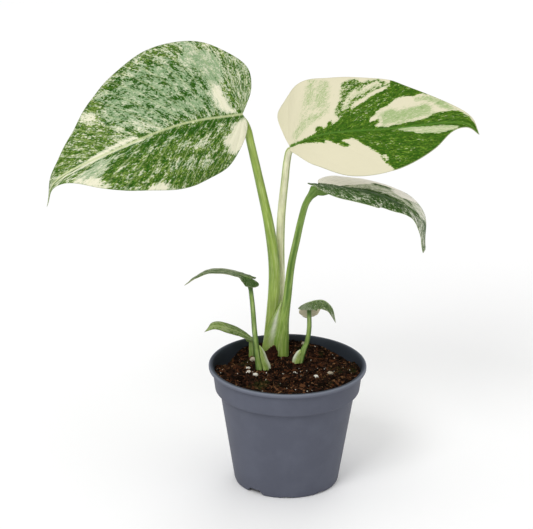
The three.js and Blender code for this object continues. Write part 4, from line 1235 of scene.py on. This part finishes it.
def end_tree(tree, geometry, material):
    """Gives what the tree made its material and puts it out."""
    coloured = add_node(tree, "GeometryNodeSetMaterial", {"Material": material}, {
        "Geometry": geometry})
    add_node(tree, "NodeGroupOutput", links={"Geometry": coloured})
    return tree


def grown(name, carrier, tree, inputs):
    """Runs a tree on a copy of the carrier mesh and gives the result as a plain mesh object."""
    source = bpy.data.objects.new(name + "_source", carrier.copy())
    bpy.context.collection.objects.link(source)
    modifier = source.modifiers.new("grow", "NODES")
    modifier.node_group = tree
    names = {s.name: s.identifier for s in tree.interface.items_tree if s.in_out == "INPUT"}
    for title, value in inputs.items():
        modifier[names[title]] = value
    bpy.context.view_layer.update()
    graph = bpy.context.evaluated_depsgraph_get()
    mesh = bpy.data.meshes.new_from_object(source.evaluated_get(graph), depsgraph=graph)
    bpy.data.objects.remove(source)
    mesh.name = name
    piece = bpy.data.objects.new(name, mesh)
    bpy.context.collection.objects.link(piece)
    return piece


# %% Drain hole tree
def drain_tree(name, material):
    """Cuts a ring of round holes through the floor. Sizes are metres."""
    tree, given = new_tree(name, {
        "Count": "Int", "Ring radius": "Float", "Hole radius": "Float", "Depth": "Float"})
    ring = add_node(tree, "GeometryNodeMeshCircle", links={
        "Vertices": given["Count"], "Radius": given["Ring radius"]})
    drill = add_node(tree, "GeometryNodeMeshCylinder", {"Vertices": 28}, {
        "Radius": given["Hole radius"], "Depth": given["Depth"]})
    drills = add_node(tree, "GeometryNodeInstanceOnPoints", links={
        "Points": ring, "Instance": drill})
    real = add_node(tree, "GeometryNodeRealizeInstances", links={"Geometry": drills})
    cut = add_node(tree, "GeometryNodeMeshBoolean", {
        "operation": "DIFFERENCE", "solver": "EXACT"}, {
        "Mesh 1": given["Geometry"], "Mesh 2": real})
    return end_tree(tree, cut, material)


# %% Make the pot
LIP_HIGHLIGHT_STRENGTH, LIP_HIGHLIGHT_REACH = 0.75, 1.1  # how pale the painted highlight on the lip is, and how many mm round its edge it reaches
shell = bpy.data.meshes.new("pot_shell")
shell.from_pydata(pot_points * MM, [], pot_faces)
pot = grown("nursery_pot", shell, drain_tree("drain_holes", pot_plastic), {
    "Count": DRAINS["count"], "Ring radius": DRAINS["ring"] * MM,
    "Hole radius": DRAINS["radius"] * MM, "Depth": DRAINS["depth"] * MM})
found = np.array([v.co for v in pot.data.vertices]) / MM
heights = [0, collar_foot - 1.5, collar_foot, lip_foot, lip_foot + 0.01, POT["height"]]
outer_radii = [POT[key] for key in ("foot", "shoulder", "collar_foot", "collar_top")]
outer_wall = np.interp(found[:, 2], heights, outer_radii + [POT["lip_radius"]] * 2)
radius = np.hypot(found[:, 0], found[:, 1])
from_lip = np.hypot(radius - POT["lip_radius"], found[:, 2] - POT["height"])
# The inside wall gets a darker colour, and a pale highlight is painted round the lip's outer edge.
add_fields(pot.data, {
    "inside": (radius < outer_wall - 0.8) & (found[:, 2] > POT["floor"] - 0.1),
    "painted_lip_highlight": LIP_HIGHLIGHT_STRENGTH * np.exp(-from_lip / LIP_HIGHLIGHT_REACH),
})
pot.data.polygons.foreach_set("use_smooth", [True] * len(pot.data.polygons))
pot.data.set_sharp_from_angle(angle=math.radians(40))
seat(pot, ["pot"])

# %% [markdown]
# ## The potting mix
# Bark fines and coir settle into a lumpy surface, heaped round the stalks. The ground under the
# crumbs is one closed body whose top is lifted by the same formula as the solid's, with noise
# for the lumps. The crumbs themselves are scattered by Geometry Nodes.

# %% Level of the mix
MIX_LEVEL = 89.6
# A swell is its place (x, y), its rise and its reach.
MIX_SWELLS = [
    (-4, 32, 2.2, 20), (-44, 26, -9.5, 15), (42, 30, -4.5, 17), (-36, -30, -2.5, 10),
    (20, -34, 1, 16),
]
LUMP_NOISE = ((7, 3), (3.2, 7), (1.5, 11))  # size of a lump in mm, and a layer of the noise


def mix_level(x, y):
    """Height of the settled mix, as in its solid."""
    level = MIX_LEVEL + 0.8 * np.sin(x / 11 + 2 * np.sin(y / 9)) * np.cos(y / 9 - x / 23)
    for at_x, at_y, rise, reach in MIX_SWELLS:
        level = level + rise * np.exp(-((x - at_x) ** 2 + (y - at_y) ** 2) / reach**2)
    return level


def lumps(x, y):
    """Height of the lumps in mm: bark fines of about 7 and 3 mm with gaps, and 1.5 mm crumbs."""
    heights = []
    for a, b in zip(x, y):
        large, small, fine = (
            noise.noise(Vector((a / size, b / size, layer))) for size, layer in LUMP_NOISE
        )
        heights.append(1.5 * large - 1.1 * abs(small) * 2 + 0.5 * fine)
    return np.array(heights) + 0.5


def mix_body(rings, sides):
    """The mix as a closed body inside the pot."""
    angle = circle(sides)
    low = POT["floor"] + 0.3
    rows = [
        (POT["foot"] - wall - 3, low),
        (POT["foot"] - wall - 1, POT["floor"] + 2.5),
        (POT["shoulder"] - wall - 1, collar_foot - 3),
        (POT["collar_foot"] - wall - 1, collar_foot + 2),
    ]
    points = [(r * math.cos(a), r * math.sin(a), z) for r, z in rows for a in angle]
    outer = POT["collar_top"] - wall - 0.7
    for r in outer * np.linspace(0, 1, rings + 1)[1:][::-1]:
        x, y = r * np.cos(angle), r * np.sin(angle)
        points += list(zip(x, y, mix_level(x, y) + lumps(x, y)))
    points += [(0, 0, low), (0, 0, float(mix_level(0, 0)))]
    return points, ring_faces(len(rows) + rings, sides)


# %% Material of the mix
TONE_STEPS = ((0.3, 0.62), (0.66, 0.86), (0.92, 0.97))  # where each rarer tone takes over
FIBRE_SIZE, ALGAE_SIZE = 0.5, 24  # mm
ALGAE_PLACE = 1.5  # picks which of the noise's patterns the algae follow


def mix_material(name, tones, bit_size, roughness=0.92):
    """Composted bark and coir: dull, nearly black when damp, with reddish and tan bits and, in
    patches of a few centimetres, a thin green film of algae.

    The four tones run from the commonest to the rarest. Loose bits carry their own tone number;
    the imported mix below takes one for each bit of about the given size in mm. The eye gets loose,
    fibrous stuff from this, because neighbouring bits seldom share a tone."""
    material, tree, shader = new_material(name)
    place = add_node(tree, "ShaderNodeTexCoord").outputs["Object"]
    if bit_size:
        bits = add_node(tree, "ShaderNodeTexVoronoi", {"Scale": PER_METRE / bit_size}, {
            "Vector": place})
        parts = add_node(tree, "ShaderNodeSeparateColor", links={"Color": bits.outputs["Color"]})
        pick = parts.outputs["Red"]
    else:
        pick = add_node(tree, "ShaderNodeAttribute", {"attribute_name": "tone"}).outputs["Fac"]
    commonest, *rarer = (linear(tone) for tone in tones)
    below = {}
    for tone, (low, high) in zip(rarer, TONE_STEPS):
        part = add_node(tree, "ShaderNodeMapRange", {"From Min": low, "From Max": high}, {
            "Value": pick})
        shade = add_node(tree, "ShaderNodeMix", {
            "data_type": "RGBA", COLOUR_A: commonest, COLOUR_B: tone}, {SHARE: part, **below})
        below = {COLOUR_A: shade}
    fibre = add_node(tree, "ShaderNodeTexNoise", {
        "Scale": PER_METRE / FIBRE_SIZE, "Detail": 3.0, "Roughness": 0.7}, {"Vector": place})
    value = add_node(tree, "ShaderNodeMapRange", {
        "From Min": 0.3, "From Max": 0.7, "To Min": 0.5, "To Max": 1.5}, {"Value": fibre})
    film = add_node(tree, "ShaderNodeTexNoise", {
        "noise_dimensions": "4D", "W": ALGAE_PLACE, "Scale": PER_METRE / ALGAE_SIZE,
        "Detail": 4.0, "Roughness": 0.7}, {"Vector": place})
    algae = add_node(tree, "ShaderNodeMapRange", {
        "From Min": 0.56, "From Max": 0.66, "To Max": 0.45}, {"Value": film})
    green = add_node(tree, "ShaderNodeMix", {"data_type": "RGBA", COLOUR_B: linear("#3a4018")}, {
        SHARE: algae, COLOUR_A: shade})
    toned = add_node(tree, "ShaderNodeHueSaturation", links={"Color": green, "Value": value})
    bump = add_node(tree, "ShaderNodeBump", {"Strength": 0.6, "Distance": 0.4 * MM}, {
        "Height": fibre})
    set_node(tree, shader, {"Roughness": roughness, "Specular IOR Level": 0.1}, {
        "Base Color": toned, "Normal": bump})
    return material


MIX_TONES = ("#130b06", "#2a190f", "#4b2b18", "#6e4b31")
packed_mix = mix_material("packed_bark_and_coir", MIX_TONES, bit_size=1.6)
points, faces = mix_body(rings=72, sides=SIDES)
mix = new_piece("potting_mix_ground", points, faces, packed_mix, ["potting_mix"])

# %% [markdown]
# ## Loose bits
# Bark chunks, crumbs, coir fibres and specks lie on the mix by the hundred. Placing them by hand
# would never look loose, so one Geometry Nodes tree strews a few base forms over the top of the
# mix, each turned, stretched and toned at random from a fixed seed. A chunk is a small cube of
# 24 faces that noise pushes out of shape, and a fibre is a thin rod that noise bends.

# %% Base forms of the bits
# A form is its node with settings, the axes along which the noise is read, the noise's scale,
# how far it pushes along each axis, and the turn that lays the form down. A form is about 2
# across, so the size that a scatter gives it is half the size of the bit.
CHUNK = {
    "node": "GeometryNodeMeshCube",
    "settings": {"Size": (1.5, 1.5, 1.5), "Vertices X": 3, "Vertices Y": 3, "Vertices Z": 3},
    "read": (1, 1, 1), "scale": 1.3, "push": (2.6, 2.6, 2.6), "lay": (0, 0, 0),
}
FIBRE = {
    "node": "GeometryNodeMeshCylinder",
    "settings": {"Vertices": 4, "Side Segments": 5, "Radius": 1.0, "Depth": 2.0},
    "read": (0, 0, 1), "scale": 0.9, "push": (14, 14, 0), "lay": (1.57, 0, 0),
}
FULL_TURN = 6.28
UPWARD = 0.25  # least upward part of a face's normal for bits to lie on it
SHAPE_SHIFT = 3.7  # step in the noise from one shape of a form to the next


# %% Scatter tree
def base_shape(tree, form, number):
    """One of the shapes of a form, pushed out of true by its own place in the noise."""
    plain = add_node(tree, form["node"], form["settings"])
    where = add_node(tree, "GeometryNodeInputPosition")
    read = add_node(tree, "ShaderNodeVectorMath", {"operation": "MULTIPLY", 1: form["read"]}, {
        0: where})
    push = add_node(tree, "ShaderNodeTexNoise", {
        "noise_dimensions": "4D", "W": SHAPE_SHIFT * number + 1, "Scale": form["scale"],
        "Detail": 1.0}, {"Vector": read})
    centred = add_node(tree, "ShaderNodeVectorMath", {
        "operation": "SUBTRACT", 1: (0.5, 0.5, 0.5)}, {0: push.outputs["Color"]})
    pushed = add_node(tree, "ShaderNodeVectorMath", {"operation": "MULTIPLY", 1: form["push"]}, {
        0: centred})
    bit = add_node(tree, "GeometryNodeSetPosition", links={"Geometry": plain, "Offset": pushed})
    return add_node(tree, "GeometryNodeGeometryToInstance", links={"Geometry": bit})


def scatter_tree(name, material, shapes, form):
    """Strews bits over a surface within a reach from the axis. Sizes are metres, the density is a
    count per square metre."""
    tree, given = new_tree(name, {
        "Density": "Float", "Smallest": "Vector", "Largest": "Vector", "Lift": "Float",
        "Tilt": "Float", "Reach": "Float", "Seed": "Int"})
    normal = add_node(tree, "GeometryNodeInputNormal")
    height = add_node(tree, "ShaderNodeSeparateXYZ", links={0: normal}).outputs["Z"]
    level = add_node(tree, "FunctionNodeCompare", {"operation": "GREATER_THAN", 1: UPWARD}, {
        0: height})
    spot = add_node(tree, "GeometryNodeInputPosition")
    flat_spot = add_node(tree, "ShaderNodeVectorMath", {"operation": "MULTIPLY", 1: (1, 1, 0)}, {
        0: spot})
    radius = add_node(tree, "ShaderNodeVectorMath", {"operation": "LENGTH"}, {0: flat_spot})
    within = add_node(tree, "FunctionNodeCompare", {"operation": "LESS_THAN"}, {
        0: radius, 1: given["Reach"]})
    open_top = add_node(tree, "FunctionNodeBooleanMath", {"operation": "AND"}, {
        0: level, 1: within})
    seed = {"Seed": given["Seed"]}
    spots = add_node(tree, "GeometryNodeDistributePointsOnFaces", links={
        "Mesh": given["Geometry"], "Selection": open_top, "Density": given["Density"], **seed})
    rise = add_node(tree, "ShaderNodeCombineXYZ", links={"Z": given["Lift"]})
    raised = add_node(tree, "GeometryNodeSetPosition", links={"Geometry": spots, "Offset": rise})
    kinds = add_node(tree, "GeometryNodeJoinGeometry")
    for number in range(shapes):
        set_node(tree, kinds, links={"Geometry": base_shape(tree, form, number)})

    # A random value has inputs for every kind: 0 and 1 are a vector's, 4 and 5 whole numbers'.
    pick = add_node(tree, "FunctionNodeRandomValue", {"data_type": "INT", 4: 0, 5: shapes - 1}, seed)
    spin = add_node(tree, "FunctionNodeRandomValue", {
        "data_type": "FLOAT_VECTOR", 0: (-1, -1, 0), 1: (1, 1, FULL_TURN)}, seed)
    lean = add_node(tree, "ShaderNodeCombineXYZ", {"Z": 1.0}, {
        "X": given["Tilt"], "Y": given["Tilt"]})
    turn = add_node(tree, "ShaderNodeVectorMath", {"operation": "MULTIPLY"}, {0: spin, 1: lean})
    laid = add_node(tree, "ShaderNodeVectorMath", {"operation": "ADD", 1: form["lay"]}, {0: turn})
    size = add_node(tree, "FunctionNodeRandomValue", {"data_type": "FLOAT_VECTOR"}, {
        0: given["Smallest"], 1: given["Largest"], **seed})
    strewn = add_node(tree, "GeometryNodeInstanceOnPoints", {"Pick Instance": True}, {
        "Points": raised, "Instance": kinds, "Instance Index": pick, "Rotation": laid,
        "Scale": size})
    tone = add_node(tree, "FunctionNodeRandomValue", {"data_type": "FLOAT"}, seed)
    toned = add_node(tree, "GeometryNodeStoreNamedAttribute", {
        "data_type": "FLOAT", "domain": "INSTANCE", "Name": "tone"}, {
        "Geometry": strewn, "Value": tone})
    real = add_node(tree, "GeometryNodeRealizeInstances", links={"Geometry": toned})
    return end_tree(tree, real, material)


# %% Strew the loose bits
loose_bits = mix_material("loose_bark_bits", ("#160c06", "#2f1b10", "#4f2d19", "#765639"), None)
coir = mix_material("coir_fibre", ("#26180f", "#422b1c", "#64452b", "#8d6e4a"), None, 0.8)
pale_specks = mix_material("perlite_dust", ("#a9a292", "#c9c3b4", "#dedace", "#ece9e0"), None, 0.85)
chunks = scatter_tree("bark_bits", loose_bits, 5, CHUNK)
rods = scatter_tree("coir_fibres", coir, 4, FIBRE)
dust = scatter_tree("perlite_dust", pale_specks, 2, CHUNK)
TITLES = ("Density", "Smallest", "Largest", "Lift", "Tilt", "Reach", "Seed")
SCATTERS = {
    # name: tree, slot, then the inputs in the order of the titles, in metres
    "bark_bits": (chunks, "potting_mix",
        3.2e4, (0.0008, 0.0006, 0.0004), (0.003, 0.0018, 0.0012), 0.0002, 0.6, 0.0515, 3),
    "mix_crumbs": (chunks, "potting_mix",
        1.6e5, (0.0003, 0.0003, 0.0002), (0.0011, 0.0009, 0.0007), 0.0, 3, 0.0545, 4),
    "coir_fibres": (rods, "potting_mix",
        2.2e4, (0.00009, 0.00009, 0.001), (0.00018, 0.00018, 0.0036), 0.0006, 0.35, 0.051, 5),
    "perlite_dust": (dust, "perlite",
        6e3, (0.0002, 0.0002, 0.0002), (0.0005, 0.0005, 0.0004), 0.0005, 3, 0.0545, 6),
}
for name, (tree, slot, *values) in SCATTERS.items():
    piece = grown(name, mix.data, tree, dict(zip(TITLES, values)))
    seat(piece, [])

# %% [markdown]
# ## Perlite and bark
# Perlite is volcanic glass that has popped like corn: white, chalky and full of pores. The eight
# grains and the one large piece of bark are solids of the frame, so each is made again in place
# from a ball that noise breaks up.

# %% Perlite and bark
# A grain is its place, its size and whether the mix has stained it.
GRAINS = [
    ((-24, -13.5, 90.3), 2.1, False), ((-29.5, -7, 90), 1.5, False),
    ((-29.8, 1, 89.9), 1.4, False), ((-26.5, 17, 90.4), 2, True),
    ((5.5, -8, 90.2), 1.1, False), ((21.5, -15.5, 90.6), 1.5, False),
    ((32.5, -7.5, 90.1), 1.8, True), ((13, 48, 90.2), 2.4, True),
]
BARK = {"at": (-12, 21, 92), "radii": (4.3, 3.6, 7.5)}
BULGES, PITS = (0.35, 1.3), (0.16, 4)  # how far noise pushes a lump, and the noise's scale


def broken(at, radii, seed, levels):
    """A broken lump: a ball pushed in and out by noise."""
    form = bmesh.new()
    bmesh.ops.create_icosphere(form, subdivisions=levels, radius=1)
    for vertex in form.verts:
        p = vertex.co.copy()
        bulge = BULGES[0] * noise.noise(p * BULGES[1] + Vector((seed, 0, 0)))
        pit = PITS[0] * noise.noise(p * PITS[1] + Vector((0, seed, 0)))
        push = 1 + bulge + pit
        vertex.co = Vector([p[k] * push * radii[k] + at[k] for k in range(3)])
    points = [tuple(v.co) for v in form.verts]
    faces = [[v.index for v in face.verts] for face in form.faces]
    form.free()
    return points, faces


def perlite_material(name, chalk, pore):
    """Expanded perlite: chalky white glass foam with pores of about 0.5 mm, stained by the mix.

    The pores are drawn 0.8 mm wide, because finer ones wouldn't show. The eye gets a dry, light
    crumb from them that catches the light like popped corn."""
    material, tree, shader = new_material(name)
    place = add_node(tree, "ShaderNodeTexCoord").outputs["Object"]
    pores = add_node(tree, "ShaderNodeTexVoronoi", {"Scale": PER_METRE / 0.8}, {"Vector": place})
    stain = add_node(tree, "ShaderNodeTexNoise", {"Scale": PER_METRE / 3, "Detail": 3.0}, {
        "Vector": place})
    dark = add_node(tree, "ShaderNodeMapRange", {
        "From Min": 0.5, "From Max": 0.72, "To Max": 0.8}, {"Value": stain})
    colour = add_node(tree, "ShaderNodeMix", {
        "data_type": "RGBA", COLOUR_A: linear(chalk), COLOUR_B: linear(pore)}, {SHARE: dark})
    bump = add_node(tree, "ShaderNodeBump", {"Strength": 0.7, "Distance": 0.4 * MM}, {
        "Height": pores.outputs["Distance"]})
    set_node(tree, shader, {"Roughness": 0.85}, {"Base Color": colour, "Normal": bump})
    return material


clean_perlite = perlite_material("expanded_perlite", "#e2ded2", "#9c917c")
stained_perlite = perlite_material("stained_perlite", "#b3a993", "#6d5f49")
pine_bark = mix_material("pine_bark_piece", ("#2b160e", "#402116", "#583220", "#6f4631"), 2.5)
for i, (at, size, stained) in enumerate(GRAINS):
    points, faces = broken(at, (1.15 * size, 0.95 * size, 0.9 * size), seed=5 * i, levels=4)
    finish = stained_perlite if stained else clean_perlite
    new_piece(f"perlite_grain_{i + 1}", points, faces, finish, [f"perlite_{i + 1}"])
points, faces = broken(BARK["at"], BARK["radii"], seed=11, levels=5)
new_piece("bark_piece", points, faces, pine_bark, ["bark_chunk"])

# %% [markdown]
# ## The stem under the mix
# The crown of stem and roots that holds the stalks together is buried. Its solid has the right
# shape, so it stays and only gets the skin of an old stem.

# %% Underground stem
CORK_TONES = ("#6b5032", "#7b6040", "#8f7148", "#a2875c")
old_stem = mix_material("corky_underground_stem", CORK_TONES, 3, 0.8)
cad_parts["stem_and_roots"].data.materials[0] = old_stem
print("stem_and_roots: its solid stays, in", old_stem.name)

# %% [markdown]
# ## Floor, light and camera
# The plant stands on a plain pale floor in soft light from all sides, as in a catalogue studio.
# A white room would lay a pale veil over waxy leaves, which the photo doesn't show, so the sky and
# the back softbox light the plant without showing in glossy surfaces. The camera was fitted to
# the ellipses of the pot's lip and foot in the photo.

# %% Floor
EDGE = 6.0  # metres
corners = [(-EDGE, -EDGE, 0), (EDGE, -EDGE, 0), (EDGE, EDGE, 0), (-EDGE, EDGE, 0)]
floor_mesh = bpy.data.meshes.new("floor")
floor_mesh.from_pydata(corners, [], [(0, 1, 2, 3)])
floor = bpy.data.objects.new("floor", floor_mesh)
bpy.context.collection.objects.link(floor)
# A matt white board: the eye gets nothing from it but the soft shadow under the pot.
board, board_tree, board_shader = new_material("matt_white_board")
set_node(board_tree, board_shader, {"Base Color": linear("#fbfbfb"), "Roughness": 0.9})
floor_mesh.materials.append(board)

# %% Light
world = bpy.data.worlds.new("studio")
bpy.context.scene.world = world
world.use_nodes = True
sky = world.node_tree.nodes["Background"]
set_node(world.node_tree, sky, {"Color": (1, 1, 1, 1), "Strength": 0.75})
world.cycles_visibility.glossy = False


def soft_light(name, place, aim, size, watts):
    """A square softbox that points at a place."""
    data = bpy.data.lights.new(name, "AREA")
    data.size, data.energy = size, watts
    lamp = bpy.data.objects.new(name, data)
    lamp.location = place
    lamp.rotation_euler = (Vector(aim) - Vector(place)).to_track_quat("-Z", "Y").to_euler()
    bpy.context.collection.objects.link(lamp)
    return lamp


soft_light("key_softbox", (-1.7, -3.0, 3.6), (0, 0, 0.15), 2.0, 92)
soft_light("fill_softbox", (3.0, -1.6, 2.4), (0, 0, 0.15), 2.2, 4)
soft_light("back_softbox", (0.7, 3.0, 2.3), (0, 0, 0.2), 2.2, 24).visible_glossy = False

# %% Camera
PITCH, YAW, ROLL = (math.radians(a) for a in (21.09, 0.48, -0.48))
CAMERA_Y, CAMERA_Z = -1.9882, 0.9419  # metres
SENSOR = 36  # mm
FOCAL_PIXELS, PHOTO_PIXELS = 2839.7, 533  # focal length and width of the photo
side = Vector((math.cos(YAW), math.sin(YAW), 0))
ahead = Vector((-math.sin(YAW), math.cos(YAW), 0))
forward = ahead * math.cos(PITCH) - Vector((0, 0, math.sin(PITCH)))
upward = ahead * math.sin(PITCH) + Vector((0, 0, math.cos(PITCH)))
right = side * math.cos(ROLL) - upward * math.sin(ROLL)
top = side * math.sin(ROLL) + upward * math.cos(ROLL)
camera_data = bpy.data.cameras.new("camera")
camera_data.sensor_width = SENSOR
camera_data.lens = SENSOR * FOCAL_PIXELS / PHOTO_PIXELS
camera = bpy.data.objects.new("camera", camera_data)
bpy.context.collection.objects.link(camera)
camera.matrix_world = Matrix((
    (right.x, top.x, -forward.x, 0),
    (right.y, top.y, -forward.y, CAMERA_Y),
    (right.z, top.z, -forward.z, CAMERA_Z),
    (0, 0, 0, 1),
))
bpy.context.scene.camera = camera
bpy.context.scene.view_settings.view_transform = "Standard"
